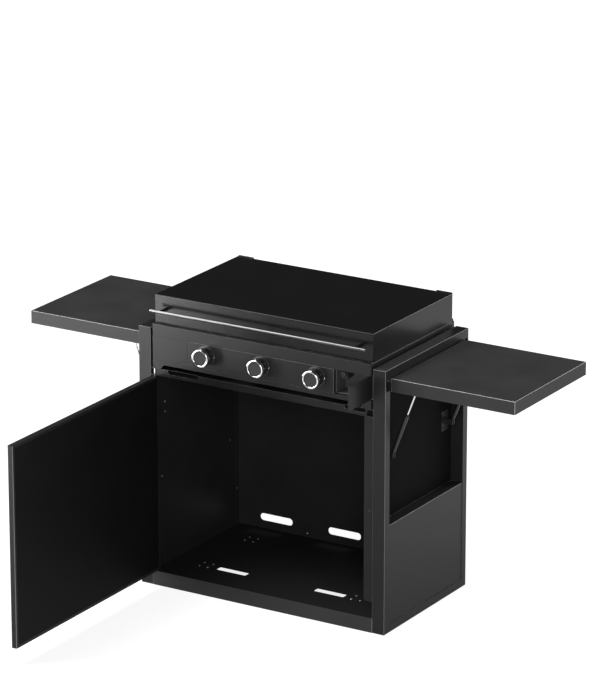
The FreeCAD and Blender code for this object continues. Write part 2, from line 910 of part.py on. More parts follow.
def strut_bracket(y, side):
    face = side_wall_face
    half_height = strut_plate_height / 2
    half_width = strut_plate_width / 2
    plate = rounded_block(face, face + strut_plate_thickness, y - half_width, y + half_width,
                          strut_foot_z - half_height, strut_foot_z + half_height,
                          strut_plate_round, along_x)
    reach = strut_foot_x + cheek_reach
    inside = strut_eye_thickness / 2 + cheek_gap
    outside = inside + cheek_thickness
    half_cheek = cheek_height / 2
    cheeks = []
    for near, far in ((inside, outside), (-outside, -inside)):
        cheeks.append(block(face, reach, y + near, y + far,
                            strut_foot_z - half_cheek, strut_foot_z + half_cheek))
    pin = bar(Vec(strut_foot_x, y - outside - 1, strut_foot_z), along_y,
              strut_pin_radius, 2 * outside + 2)
    screws = []
    for dy, dz in ((-side * plate_screw_y, plate_screw_z), (side * plate_screw_y, plate_screw_z),
                   (side * plate_screw_y, -plate_screw_z)):
        centre = Vec(face, y + dy, strut_foot_z + dz)
        screws.append(bar(centre, along_x, plate_screw_radius,
                          strut_plate_thickness + plate_screw_height))
    return joined([plate] + cheeks + [pin] + screws)


def strut_line(shape):
    """Leans an upright shape, made on the foot's axis, towards the strut's head."""
    turned = shape.copy()
    turned.rotate(Vec(0, 0, 0), along_y, strut_angle)
    turned.translate(Vec(strut_foot_x, 0, strut_foot_z))
    return turned


def strut_cylinder(y):
    half = strut_eye_thickness / 2
    eye = bar(Vec(0, y - half, 0), along_y, strut_eye_radius, strut_eye_thickness)
    neck = bar(Vec(0, y, 0), along_z, strut_neck_radius, strut_bore_start)
    body = bar(Vec(0, y, strut_cylinder_start), along_z, strut_cylinder_radius,
               strut_cylinder_end - strut_cylinder_start)
    rim = [edge for edge in body.Edges if len(edge.Vertexes) == 1]
    body = body.makeFillet(strut_cylinder_round, rim)
    pin_hole = bar(Vec(0, y - half - 1, 0), along_y, strut_pin_radius + pin_gap,
                   strut_eye_thickness + 2)
    bore = bar(Vec(0, y, strut_bore_start), along_z, strut_rod_radius + pin_gap,
               strut_cylinder_end - strut_bore_start + 1)
    return strut_line(joined([eye, neck, body]).cut(bore).cut(pin_hole))


def strut_rod(y):
    half = strut_eye_thickness / 2
    eye = bar(Vec(0, y - half, strut_length), along_y, strut_eye_radius, strut_eye_thickness)
    rod = bar(Vec(0, y, strut_length - strut_rod_length), along_z, strut_rod_radius, strut_rod_length)
    return strut_line(joined([eye, rod]))


save("strut_brackets", both_sides(Part.makeCompound([strut_bracket(*place) for place in strut_places])))
for place_name, (strut_y, strut_side) in zip(("front", "rear"), strut_places):
    cylinder = strut_cylinder(strut_y)
    rod = strut_rod(strut_y)
    save("strut_cylinder_right_" + place_name, cylinder)
    save("strut_cylinder_left_" + place_name, on_the_left(cylinder))
    save("strut_rod_right_" + place_name, rod)
    save("strut_rod_left_" + place_name, on_the_left(rod))


# Grease tray: a tapered pan with a lower front part, a front lip and a rear pull tab

def level_frame(x0, x1, y0, y1, z):
    corners = [Vec(x0, y0, z), Vec(x1, y0, z), Vec(x1, y1, z), Vec(x0, y1, z)]
    return Part.makePolygon(corners + corners[:1])


def tapered(x0, x1, y0, y1, z0, z1, taper):
    low = level_frame(x0 + taper, x1 - taper, y0 + taper, y1 - taper, z0)
    high = level_frame(x0, x1, y0, y1, z1)
    return Part.makeLoft([low, high], True)


def grease_tray():
    top = tray_bottom + tray_height
    outer = tapered(tray_left, tray_right, tray_front, tray_back, tray_bottom, top, tray_taper)
    rim = block(tray_left - tray_rim, tray_right + tray_rim, tray_front, tray_back, top - tray_wall, top)
    wall = tray_wall
    slope = tray_taper * wall / tray_height
    inner = tapered(tray_left + wall - slope, tray_right - wall + slope,
                    tray_front + wall - slope, tray_back - wall + slope,
                    tray_bottom + wall, top + 1, tray_taper)
    front_end = tray_front + tray_front_part
    low_front = block(tray_left - 10, tray_right + 10, tray_front - 1, front_end,
                      top - tray_front_drop, top + 1)
    low_rim = block(tray_left - tray_rim, tray_right + tray_rim, tray_front, front_end,
                    top - tray_front_drop - wall, top - tray_front_drop)
    pan = joined([outer.fuse(rim).cut(low_front), low_rim]).cut(inner)
    lip_z = tray_bottom + tray_lip_level
    lip = block(tray_left - tray_lip_side, tray_right, tray_front - tray_lip_depth,
                tray_front + tray_taper, lip_z, lip_z + 3 * wall).cut(inner)
    tab_z = tray_bottom + tray_tab_level
    tab_right = tray_right - tray_taper
    tab_left = tab_right - tray_tab_width
    tab = prism([(tab_left, tray_back - tray_taper, tab_z), (tab_right, tray_back - tray_taper, tab_z),
                 (tab_right, tray_back + tray_tab_length, tab_z),
                 (tab_left + tray_tab_width / 2, tray_back + tray_tab_length, tab_z)],
                along_z * (2 * wall)).cut(inner)
    bridge_y = front_end - 2 * wall
    bridge = block(tray_left + wall, tray_right - wall, bridge_y, front_end,
                   tray_bottom + wall, top - tray_front_drop).common(outer)
    passage = block(tray_left + tray_jamb_width, tray_right - tray_jamb_width, bridge_y - 1, front_end + 1,
                    tray_bottom + wall + tray_sill_height, top)
    return joined([pan, lip, tab, bridge.cut(passage)])


save("grease_tray", grease_tray())


# Burner box: base with feet, sides and back, and rim with a ledge for the griddle

def ring(outer, inner, z0, z1):
    """A level frame between two outlines, each given as x0, x1, y0, y1."""
    return block(*outer, z0, z1).cut(block(*inner, z0 - 1, z1 + 1))


def inset(outline, amount):
    x0, x1, y0, y1 = outline
    return (x0 + amount, x1 - amount, y0 + amount, y1 - amount)


box_outline = (-box_half, box_half, box_front, box_back)
tray_bay_x = (tray_left - tray_lip_side - tray_bay_gap, tray_right + tray_rim + tray_bay_gap)
tray_bay_top = tray_bottom + tray_height + tray_bay_gap


def tray_bay():
    """The way out of the box's back for the grease tray."""
    return block(*tray_bay_x, box_back - flange_in - 2, box_back + 1, box_bottom - 1, tray_bay_top)


def upright_shell(outline, z0, z1):
    outer = rounded_block(*outline, z0, z1, box_round, along_z)
    return outer.cut(block(*inset(outline, box_wall), z0 - 1, z1 + 1))


def small_pin_hole():
    return bar(Vec(small_hinge_x, small_hinge_y, base_top - 2 * small_pin_length), along_z,
               small_pin_radius + pin_gap, rim_bottom - base_top + 4 * small_pin_length)


def box_base():
    walls = upright_shell(box_outline, box_bottom, base_top)
    flange = ring(inset(box_outline, box_wall / 2), inset(box_outline, flange_in),
                  base_top - box_wall, base_top)
    foot_top = box_bottom + box_foot_height
    front_in = box_half - box_foot_front
    front_up = front_in - box_foot_slant
    across = prism([(-front_in, -1, box_bottom), (-front_up, -1, foot_top),
                    (front_up, -1, foot_top), (front_in, -1, box_bottom)],
                   along_y * (cabinet_depth + 2))
    rear_foot = box_back - side_foot_rear
    along = prism([(-box_half - 1, side_foot_front, box_bottom),
                   (-box_half - 1, side_foot_front + side_foot_slant, foot_top),
                   (-box_half - 1, rear_foot - side_foot_slant, foot_top),
                   (-box_half - 1, rear_foot, box_bottom)],
                  along_x * (2 * box_half + 2))
    cuts = [across, along, tray_bay(), small_pin_hole()]
    return without(joined([walls, flange]), cuts)


def box_sides():
    z0 = base_top + seam
    z1 = rim_bottom - seam
    walls = upright_shell(box_outline, z0, z1)
    face = box_front + corner_gap
    walls = walls.cut(block(-box_half - 1, box_half + 1, box_front - 1, face, z0 - 1, z1 + 1))
    turn = block(box_half - flange_in - box_wall, box_half - box_wall / 2, face, face + box_wall, z0, z1)
    return joined([walls, turn, on_the_left(turn)]).cut(tray_bay())


def box_rim():
    walls = softened_block(*box_outline, rim_bottom, box_top, box_round)
    walls = walls.cut(block(*inset(box_outline, box_wall), rim_bottom - 1, box_top - box_wall))
    opening = (-ledge_half, ledge_half, box_front + rim_front, box_back - rim_rear)
    walls = walls.cut(block(*opening, rim_bottom, box_top + 1))
    drop_outer = inset(opening, -box_wall)
    drop = ring(drop_outer, opening, ledge_top - box_wall, box_top - box_wall / 2)
    ledge_inner = (opening[0] + ledge_width, opening[1] - ledge_width,
                   opening[2], opening[3] - ledge_rear_width)
    ledge = ring(drop_outer, ledge_inner, ledge_top - box_wall, ledge_top)
    front_drop = block(drop_outer[0], drop_outer[1], drop_outer[2], opening[2],
                       pan_level, ledge_top)
    flange = ring(inset(box_outline, box_wall / 2), inset(box_outline, flange_in),
                  rim_bottom, rim_bottom + box_wall)
    return joined([walls, drop, ledge, front_drop, flange]).cut(small_pin_hole())


save("box_base", box_base())
save("box_sides", box_sides())
save("box_rim", box_rim())


# Front of the burner box: control panel, plain end panel and battery compartment

fascia_bottom = base_top + seam
fascia_top = rim_bottom - seam
knob_places = [knob_offset + step * knob_pitch for step in (-1, 0, 1)]


def control_panel():
    front = box_front
    back = box_front + box_wall
    plate = block(-panel_half, panel_half, front, back, fascia_bottom, fascia_top)
    top = block(-panel_half, panel_half, front, front + flange_in, fascia_top - box_wall, fascia_top)
    bottom = block(-panel_half, panel_half, front, front + flange_in, fascia_bottom,
                   fascia_bottom + box_wall)
    cuts = [bar(Vec(x, front - 1, knob_z), along_y, panel_hole_radius, box_wall + 2)
            for x in knob_places]
    return without(joined([plate, top, bottom]), cuts)


def end_panel():
    """The plain plate at the left end, folded round the corner."""
    outline = (-box_half, -panel_half - seam, box_front, box_front + corner_gap - seam)
    outer = rounded_block(*outline, fascia_bottom, fascia_top, box_round, along_z)
    hollow = block(-box_half + box_wall, -panel_half, box_front + box_wall,
                   box_front + corner_gap + 1, fascia_bottom - 1, fascia_top + 1)
    return outer.cut(hollow)


def compartment_liner():
    x0 = small_door_inner + compartment_side_gap
    x1 = small_hinge_x - small_pivot_in - compartment_side_gap
    y0 = box_front + corner_gap
    z0 = fascia_bottom + compartment_side_gap
    z1 = fascia_top - compartment_side_gap
    outer = block(x0, x1, y0, y0 + compartment_depth, z0, z1)
    wall = compartment_wall
    inner = block(x0 + wall, x1 - wall, y0 - 1, y0 + compartment_depth - wall, z0 + wall, z1 - wall)
    flange = block(panel_half + seam, x1, y0, y0 + wall, fascia_bottom, fascia_top)
    return joined([outer, flange]).cut(inner)


def igniter_module():
    x0 = small_door_inner + compartment_side_gap + compartment_wall
    y1 = box_front + corner_gap + compartment_depth - compartment_wall
    z1 = fascia_top - compartment_side_gap - compartment_wall
    case = rounded_block(x0, x0 + igniter_width, y1 - igniter_depth, y1,
                         z1 - igniter_height, z1, 2.0, along_y)
    cap_centre = Vec(x0 + igniter_width / 2, y1 - igniter_depth - 8, z1 - igniter_height / 2)
    cap = bar(cap_centre, along_y, igniter_height * 0.36, 10)
    return joined([case, cap])


def compartment_door():
    x0 = small_hinge_x + small_pivot_in - small_door_thickness
    x1 = small_hinge_x + small_pivot_in
    y0 = small_hinge_y - (small_hinge_x - small_door_inner)
    y1 = small_hinge_y + small_pivot_end
    z0 = fascia_bottom + small_door_gap / 2
    z1 = fascia_top - small_door_gap / 2
    panel = rounded_block(x0, x1, y0, y1, z0, z1, 1.5, along_z)
    hollow = block(x0 - 1, x1 - box_wall, y0 + box_wall, small_hinge_y - 2 * small_pivot_in,
                   z0 + box_wall, z1 - box_wall)
    low = fascia_bottom - small_pin_length
    pin = bar(Vec(small_hinge_x, small_hinge_y, low), along_z, small_pin_radius,
              fascia_top + small_pin_length - low)
    return joined([panel.cut(hollow), pin])


save("control_panel", control_panel())
save("end_panel", end_panel())
save("compartment_liner", compartment_liner())
save("igniter_module", igniter_module())
save("compartment_door", compartment_door())


# Burner pan: bright sheet with a rounded well and a raised island for each burner

burner_places = [step * burner_pitch for step in (-1, 0, 1)]
well_front = burner_front - well_margin
well_back = burner_back + well_margin
well_half = burner_half_width + well_margin
tube_legs = (-burner_half_width, burner_half_width)


def burner_well(x, grow, z0, z1):
    return rounded_block(x - well_half - grow, x + well_half + grow, well_front - grow,
                         well_back + grow, z0, z1, well_round + grow, along_z)


def burner_island(x, grow, z0, z1):
    return rounded_block(x - island_half_width - grow, x + island_half_width + grow,
                         island_front - grow, island_back + grow, z0, z1,
                         island_round + grow, along_z)


def burner_pan():
    floor = block(-pan_half, pan_half, pan_front, pan_back, pan_level - pan_sheet, pan_level)
    edge = ring((-pan_half, pan_half, pan_front, pan_back),
                (-pan_half + pan_sheet, pan_half - pan_sheet, pan_front + pan_sheet,
                 pan_back - pan_sheet), pan_level - pan_sheet, ledge_top - box_wall - fit_gap)
    low = pan_level - well_depth
    solids = [floor, edge]
    hollows = []
    islands = []
    for x in burner_places:
        solids.append(burner_well(x, pan_sheet, low - pan_sheet, pan_level - pan_sheet / 2))
        hollows.append(burner_well(x, 0, low, pan_level + 1))
        pad = burner_island(x, 0, low - pan_sheet, island_level)
        under = burner_island(x, -pan_sheet, low - 2 * pan_sheet, island_level - pan_sheet)
        islands.append((pad, under))
    pan = without(joined(solids), hollows)
    for pad, under in islands:
        pan = pan.fuse(pad).cut(under)
    holes = []
    for x in burner_places:
        for leg in tube_legs:
            holes.append(bar(Vec(x + leg, feed_back, low - 5), along_z, riser_radius + riser_gap, 10))
        holes.append(bar(Vec(x, feed_back + riser_back, low - 5), along_z, riser_radius + riser_gap,
                         well_depth + 10))
    holes.append(bar(Vec(chute_x, chute_y, pan_level - 5), along_z, chute_radius + riser_gap, 10))
    return without(pan, holes).removeSplitter()


def u_burner(x):
    """One bent tube: two legs along the box and a cross run at the back."""
    z = tube_level
    left = x - burner_half_width
    right = x + burner_half_width
    bend = burner_bend
    turn = bend * (1 - math.sqrt(0.5))
    corner = burner_back - bend
    path = Part.Wire([
        Part.makeLine(Vec(left, burner_front, z), Vec(left, corner, z)),
        Part.Arc(Vec(left, corner, z), Vec(left + turn, burner_back - turn, z),
                 Vec(left + bend, burner_back, z)).toShape(),
        Part.makeLine(Vec(left + bend, burner_back, z), Vec(right - bend, burner_back, z)),
        Part.Arc(Vec(right - bend, burner_back, z), Vec(right - turn, burner_back - turn, z),
                 Vec(right, corner, z)).toShape(),
        Part.makeLine(Vec(right, corner, z), Vec(right, burner_front, z)),
    ])
    profile = Part.Wire(Part.makeCircle(burner_radius, Vec(left, burner_front, z), along_y))
    return path.makePipeShell([profile], True, False)


def centre_burner(x):
    length = centre_burner_back - centre_burner_front
    z = island_level + centre_burner_radius + fit_gap
    tube = bar(Vec(x, centre_burner_front, z), along_y, centre_burner_radius, length)
    ends = [edge for edge in tube.Edges if len(edge.Vertexes) == 1]
    return tube.makeFillet(centre_burner_round, ends)


def igniter_start(x):
    """The outer end of the boot, beside the burner's left leg."""
    return Vec(x - burner_half_width + sleeve_end_in, igniter_y, island_level + sleeve_radius + fit_gap)


def igniter_sleeve(x):
    boot = bar(igniter_start(x), along_x, sleeve_radius, sleeve_length)
    rims = [edge for edge in boot.Edges if len(edge.Vertexes) == 1]
    return boot.makeFillet(sleeve_round, rims)


def igniter_electrode(x):
    """A ceramic rod out of the boot, held by a collar's foot, with its wire at the middle burner."""
    start = igniter_start(x) + along_x * (sleeve_length + fit_gap)
    rod = bar(start, along_x, ceramic_radius, ceramic_length)
    collar_start = start + along_x * ceramic_collar_start
    collar = bar(collar_start, along_x, ceramic_collar_radius, ceramic_collar_length)
    foot = block(collar_start.x, collar_start.x + ceramic_collar_length,
                 start.y - ceramic_radius, start.y + ceramic_radius, island_level, start.z)
    end = start + along_x * ceramic_length
    wire = bar(end, along_x, spark_wire_radius, spark_wire_length)
    return joined([rod, collar, foot, wire])


save("burner_pan", burner_pan())
save("u_burners", Part.makeCompound([u_burner(x) for x in burner_places]))
save("centre_burners", Part.makeCompound([centre_burner(x) for x in burner_places]))
save("igniter_electrodes", Part.makeCompound([igniter_electrode(x) for x in burner_places]))
save("igniter_sleeves", Part.makeCompound([igniter_sleeve(x) for x in burner_places]))


# Gas line: inlet, manifold, valves and the feeds to the burners

def gas_manifold():
    right = knob_places[2] + manifold_end
    run = bar(Vec(hose_hole_x, manifold_y, knob_z), along_x, manifold_radius, right - hose_hole_x)
    corner = Part.makeSphere(elbow_radius, Vec(hose_hole_x, manifold_y, knob_z))
    back_run = bar(Vec(hose_hole_x, manifold_y, knob_z), along_y, manifold_radius,
                   hose_hole_y - manifold_y)
    elbow = Part.makeSphere(elbow_radius, Vec(hose_hole_x, hose_hole_y, knob_z))
    bottom = box_bottom + inlet_bottom
    drop = bar(Vec(hose_hole_x, hose_hole_y, bottom), along_z, manifold_radius, knob_z - bottom)
    corners = []
    for step in range(6):
        turn = math.radians(60 * step)
        corners.append((hose_hole_x + inlet_nut_radius * math.cos(turn),
                        hose_hole_y + inlet_nut_radius * math.sin(turn), bottom + inlet_length))
    nut = prism(corners, along_z * inlet_nut_height)
    return joined([run, corner, back_run, elbow, drop, nut])


def gas_valve(x):
    body = block(x - valve_width / 2, x + valve_width / 2, valve_front, valve_back,
                 knob_z - valve_below, knob_z + valve_above)
    neck = bar(Vec(x, box_front + box_wall + fit_gap, knob_z), along_y, stem_radius + valve_neck_wall,
               valve_front - box_front - box_wall)
    bore = bar(Vec(x, 0, knob_z), along_y, stem_radius + pin_gap, stem_depth + 2 * knob_travel)
    return joined([body, neck]).cut(bore)


def burner_feed(x, knob_x):
    """A pipe from the valve to a cross tube, with a riser to each leg and to the middle."""
    low = knob_z - feed_drop
    run = bar(Vec(knob_x, valve_back, low), along_y, feed_radius, feed_back - valve_back)
    up = bar(Vec(knob_x, feed_back, low - cross_radius), along_z, riser_radius, feed_drop + cross_radius)
    left = min(x - burner_half_width, knob_x)
    right = max(x + burner_half_width, knob_x)
    overrun = riser_radius + cross_end
    cross = bar(Vec(left - overrun, feed_back, knob_z), along_x, cross_radius, right - left + 2 * overrun)
    risers = []
    for leg in tube_legs:
        risers.append(bar(Vec(x + leg, feed_back, knob_z), along_z, riser_radius,
                          tube_level - burner_radius - fit_gap - knob_z))
    middle_y = feed_back + riser_back
    middle = bar(Vec(x, feed_back, knob_z), along_y, feed_radius, riser_back)
    middle_up = bar(Vec(x, middle_y, knob_z - cross_radius), along_z, riser_radius,
                    island_level - knob_z + cross_radius)
    return joined([run, up, cross, middle, middle_up] + risers)


feeds = [burner_feed(*places) for places in zip(burner_places, knob_places)]
save("gas_pipes", Part.makeCompound([gas_manifold()] + feeds))
save("gas_valves", Part.makeCompound([gas_valve(x) for x in knob_places]))


# Grease chute, and the clips that locate the griddle at the back

def grease_chute():
    low = tray_bay_top
    tube = pipe(Vec(chute_x, chute_y, low), along_z, chute_radius, chute_radius - chute_wall,
                griddle_bottom - chute_top_gap - low)
    collar = pipe(Vec(chute_x, chute_y, pan_level), along_z, chute_radius + chute_collar_out,
                  chute_radius - chute_wall, chute_collar_height)
    return joined([tube, collar])


def griddle_clip():
    x1 = pan_half - pan_sheet - fit_gap
    y1 = pan_back - pan_sheet - fit_gap
    top = ledge_top - box_wall - fit_gap
    x0 = x1 - clip_length
    y0 = y1 - clip_length
    foot = block(x0, x1, y0, y1, pan_level, pan_level + clip_foot)
    post = block(x1 - clip_wall, x1, y0, y1, pan_level, top)
    hook = block(x0 + clip_foot, x1, y1 - clip_wall, y1, pan_level, top)
    return joined([foot, post, hook])


save("grease_chute", grease_chute())
save("griddle_clips", both_sides(griddle_clip()))


# Knobs: a push-in stem, a black knob with a bright ring, and a fixed disc behind it

def knob_bezel(x):
    disc = bar(Vec(x, box_front - bezel_thickness, knob_z), along_y, bezel_radius, bezel_thickness)
    front = [edge for edge in disc.Edges if edge.BoundBox.YMax < box_front - bezel_thickness + 0.1]
    disc = disc.makeChamfer(bezel_chamfer, front)
    hole = bar(Vec(x, -10, knob_z), along_y, bezel_hole_radius, 20)
    return disc.cut(hole)


knob_back = box_front - knob_back_gap
knob_front = knob_back - knob_depth


def valve_stem(x):
    start = knob_front + stem_tip_in
    return bar(Vec(x, start, knob_z), along_y, stem_radius, stem_depth - start)


def knob(x):
    grip = bar(Vec(x, knob_back - knob_collar, knob_z), along_y, knob_radius, knob_collar)
    rims = [edge for edge in grip.Edges if len(edge.Vertexes) == 1]
    grip = grip.makeFillet(knob_round, rims)
    face = bar(Vec(x, knob_front, knob_z), along_y, knob_face_radius, knob_depth - knob_round)
    bore_length = knob_depth - knob_bore_end
    bore = bar(Vec(x, knob_back - bore_length, knob_z), along_y, stem_radius + pin_gap, bore_length + 1)
    return joined([grip, face]).cut(bore)


def knob_ring(x):
    start = knob_front - ring_proud
    inner = knob_face_radius + ring_bore_gap
    ring_body = pipe(Vec(x, start, knob_z), along_y, ring_radius, inner,
                     knob_depth - knob_collar + ring_proud - ring_back_gap)
    front = [edge for edge in ring_body.Edges if edge.BoundBox.YMax < start + 0.1]
    return ring_body.makeFillet(knob_round, front)


save("knob_bezels", Part.makeCompound([knob_bezel(x) for x in knob_places]))
for knob_name, knob_x in zip(("left", "middle", "right"), knob_places):
    save("valve_stem_" + knob_name, valve_stem(knob_x))
    save("knob_" + knob_name, knob(knob_x))
    save("knob_ring_" + knob_name, knob_ring(knob_x))


# Griddle: a thick pan with a low front lip, and a high guard on the other three sides

griddle_outline = (-griddle_half, griddle_half, griddle_front, griddle_back)


def griddle_pan():
    """One pan: a thick plate, a low front lip and tall walls on the other three sides."""
    outer = rounded_block(*griddle_outline, griddle_bottom, griddle_top, griddle_round, along_z)
    under = [edge for edge in outer.Edges if edge.BoundBox.ZMax < griddle_bottom + 0.01]
    outer = outer.makeChamfer(griddle_bottom_edge, under)
    wall = griddle_wall
    inner = rounded_block(-griddle_half + wall, griddle_half - wall,
                          griddle_front + griddle_lip_wall, griddle_back - wall,
                          griddle_bottom + griddle_plate, griddle_top + 1,
                          griddle_round - wall, along_z)
    mouth_half = griddle_half - wall_front_turn
    mouth = block(-mouth_half, mouth_half, griddle_front - 1, griddle_front + wall_front_turn,
                  griddle_lip_top, griddle_top + 1)
    drain = bar(Vec(chute_x, chute_y, griddle_bottom - 1), along_z, drain_radius, griddle_plate + 2)
    return without(outer, [inner, mouth, drain]).fuse(wall_beads()).removeSplitter()


def wall_beads():
    """A shallow half-round bead along the back wall, in two lengths."""
    z = griddle_bottom + bead_level
    face = griddle_back - griddle_wall
    bead = bar(Vec(bead_inner, face, z), along_x, bead_radius, bead_outer - bead_inner)
    keep = block(bead_inner, bead_outer, face - 2 * bead_radius, face + griddle_wall / 2,
                 z - 2 * bead_radius, z + 2 * bead_radius)
    bead = bead.common(keep)
    return bead.fuse(on_the_left(bead))


def griddle_hook():
    """The small clip in the middle of the back wall."""
    face = griddle_back - griddle_wall
    half = hook_plate_width / 2
    plate_top = griddle_top - hook_below_top
    plate = block(-half, half, face - hook_plate_thickness, face, plate_top - hook_plate_height, plate_top)
    stem = bar(Vec(0, face - hook_stem_out, griddle_top - hook_stem_level), along_z,
               hook_stem_radius, hook_stem_length)
    half = hook_width / 2
    hook_bottom = griddle_top - hook_level
    hook = block(-half, half, face - hook_out, face - hook_plate_thickness / 2,
                 hook_bottom, hook_bottom + hook_height)
    return joined([plate, stem, hook])


def griddle_legs():
    """Front legs: a plain one at the left, and a stepped one at the right."""
    y = griddle_front
    top = griddle_bottom
    low = top - leg_height
    left = prism([(-leg_outer, y, top), (-leg_outer + leg_end_slant, y, low),
                  (-leg_inner - leg_slant, y, low),
                  (-leg_inner, y, top)], along_y * leg_thickness)
    deep = low - leg_step_height
    right = prism([(leg_outer, y, top), (leg_outer - leg_end_slant, y, deep),
                   (leg_step_x + leg_slant, y, deep),
                   (leg_step_x, y, low), (leg_inner + leg_slant, y, low), (leg_inner, y, top)],
                  along_y * leg_thickness)
    return Part.makeCompound([left, right])


save("griddle_pan", griddle_pan())
save("griddle_hook", griddle_hook())
save("griddle_legs", griddle_legs())


# Lid: a folded shell with a full-width handle, turning on two rear hinges

def lid_shell():
    outer = softened_block(-lid_half, lid_half, lid_front, lid_back, lid_bottom, lid_top, lid_round)
    hollow = block(-lid_half + sheet, lid_half - sheet, lid_front + sheet, lid_back - sheet,
                   lid_bottom - 1, lid_top - sheet)
    return outer.cut(hollow)


def lid_handle():
    z = lid_bottom + handle_level
    y = lid_front - handle_reach
    grip = bar(Vec(-handle_half_length, y, z), along_x, handle_radius, 2 * handle_half_length)
    ends = [edge for edge in grip.Edges if len(edge.Vertexes) == 1]
    grip = grip.makeFillet(handle_round, ends)
    posts = []
    for x in (-handle_post_x, handle_post_x):
        posts.append(bar(Vec(x, y, z), along_y, handle_post_radius, handle_reach))
    return joined([grip] + posts)


def knuckle(x0, x1):
    return bar(Vec(x0, lid_pivot_y, lid_pivot_z), along_x, knuckle_radius, x1 - x0)


def lid_hinge_leaf():
    """The leaf on the lid's back wall, with a knuckle at each end."""
    back = lid_back + leaf_thickness
    leaf = block(leaf_inner, leaf_outer, lid_back, back, lid_bottom + leaf_lift,
                 lid_top + leaf_above_lid)
    pieces = [leaf]
    for x0, x1 in ((leaf_inner, knuckle_inner - knuckle_side_gap),
                   (knuckle_outer + knuckle_side_gap, leaf_outer)):
        pieces.append(knuckle(x0, x1))
        pieces.append(block(x0, x1, back - leaf_thickness / 2, lid_pivot_y,
                            lid_pivot_z - leaf_thickness, lid_pivot_z + leaf_thickness))
    bore = bar(Vec(leaf_inner - 1, lid_pivot_y, lid_pivot_z), along_x,
               hinge_pin_radius + pin_gap, leaf_outer - leaf_inner + 2)
    return joined(pieces).cut(bore)


def lid_hinge_base():
    """The leaf that lies on the rim behind the lid, with its knuckle and pin."""
    plate = block(leaf_inner, leaf_outer, lid_back + leaf_thickness, box_back - fit_gap,
                  lid_bottom, lid_bottom + hinge_plate)
    web = block(knuckle_inner, knuckle_outer, lid_pivot_y - leaf_thickness,
                lid_pivot_y + leaf_thickness, lid_bottom, lid_pivot_z)
    pin = bar(Vec(leaf_inner + 1, lid_pivot_y, lid_pivot_z), along_x, hinge_pin_radius,
              leaf_outer - leaf_inner - 2)
    return joined([plate, web, knuckle(knuckle_inner, knuckle_outer), pin])


save("lid_shell", lid_shell())
save("lid_handle", lid_handle())
save("lid_hinge_leaves", both_sides(lid_hinge_leaf()))
save("lid_hinge_bases", both_sides(lid_hinge_base()))


# Travel of the moving parts, in millimetres and degrees
print("strut angle", strut_angle, "folded", folded_angle, "swing", strut_angle - folded_angle)
print("strut length", strut_length, "folded", folded_length, "stroke", strut_length - folded_length)
print("strut foot", strut_foot_x, strut_foot_z, "shelf pivot", shelf_pivot_x, shelf_pivot_z)
print("door pivot", door_pivot_x, door_pivot_y, "small door pivot", small_hinge_x, small_hinge_y)
print("lid pivot", lid_pivot_y, lid_pivot_z, "knob level", knob_z)
print("griddle bottom", griddle_bottom, "lid bottom", lid_bottom, "box bottom", box_bottom)
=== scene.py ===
import math

import bmesh
import bpy
from mathutils import Matrix, Vector


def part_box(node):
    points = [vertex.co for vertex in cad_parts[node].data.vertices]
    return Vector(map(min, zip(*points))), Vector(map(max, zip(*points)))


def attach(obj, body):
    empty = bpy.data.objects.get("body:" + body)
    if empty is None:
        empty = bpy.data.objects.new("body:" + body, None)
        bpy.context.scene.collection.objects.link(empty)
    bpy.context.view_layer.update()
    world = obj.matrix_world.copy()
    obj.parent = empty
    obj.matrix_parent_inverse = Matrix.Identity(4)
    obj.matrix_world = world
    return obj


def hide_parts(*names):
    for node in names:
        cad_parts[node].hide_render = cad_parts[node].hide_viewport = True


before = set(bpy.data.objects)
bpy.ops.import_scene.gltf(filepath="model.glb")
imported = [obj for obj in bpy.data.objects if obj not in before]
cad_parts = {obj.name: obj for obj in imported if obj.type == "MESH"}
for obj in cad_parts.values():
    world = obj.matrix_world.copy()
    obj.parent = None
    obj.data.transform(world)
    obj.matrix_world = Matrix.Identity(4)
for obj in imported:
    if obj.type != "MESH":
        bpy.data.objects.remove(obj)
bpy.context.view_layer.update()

# Camera: a long lens that looks down at the station's right front corner, far enough away
# that the edges run almost parallel.

camera_place = (6.9496, -11.1355, 5.1379)
camera_pitch = 72.08
camera_heading = 31.407
focal_length = 220.47

camera = bpy.data.objects.new("camera", bpy.data.cameras.new("camera"))
camera.location = camera_place
camera.rotation_euler = (math.radians(camera_pitch), 0.0, math.radians(camera_heading))
camera.data.lens = focal_length
camera.data.sensor_width = 36.0
camera.data.clip_end = 200.0
bpy.context.collection.objects.link(camera)
bpy.context.scene.camera = camera
bpy.context.scene.view_settings.view_transform = "Standard"

# Studio floor: a wide matte floor that the picture shows white, and that keeps the station's soft shadow
# close to its feet. In reflections it is white away from the station and darker near it, a painted shade.

floor_size = 90.0
floor_grey = (0.32, 0.32, 0.32, 1.0)
near_glow = 0.85
shadow_reach = 1.4
white_reach = 4.5
# Painted shade: the floor's glow in reflections is this low near the station.
mirrored_shaded_glow = 0.30
mirrored_shadow_reach = 0.3
mirrored_white_reach = 2.2


def add_node(tree, kind, inputs=(), **settings):
    """Adds a node, sets it, and fills its inputs with plain values or other nodes' outputs."""
    node = tree.nodes.new("ShaderNode" + kind)
    for setting, value in settings.items():
        setattr(node, setting, value)
    for name, value in dict(inputs).items():
        if isinstance(value, bpy.types.NodeSocket):
            tree.links.new(value, node.inputs[name])
        else:
            node.inputs[name].default_value = value
    return node


def number_from(tree, operation, *terms):
    """A number worked out from others."""
    return add_node(tree, "Math", enumerate(terms), operation=operation).outputs["Value"]


def length_of(tree, vector):
    """A vector's length."""
    return add_node(tree, "VectorMath", {0: vector}, operation="LENGTH").outputs["Value"]


def spread_over(tree, value, low, high, start=0.0, end=1.0, **settings):
    """A number that runs from low to high while the value runs from start to end."""
    inputs = {"Value": value, "From Min": start, "From Max": end, "To Min": low, "To Max": high}
    return add_node(tree, "MapRange", inputs, **settings).outputs["Result"]


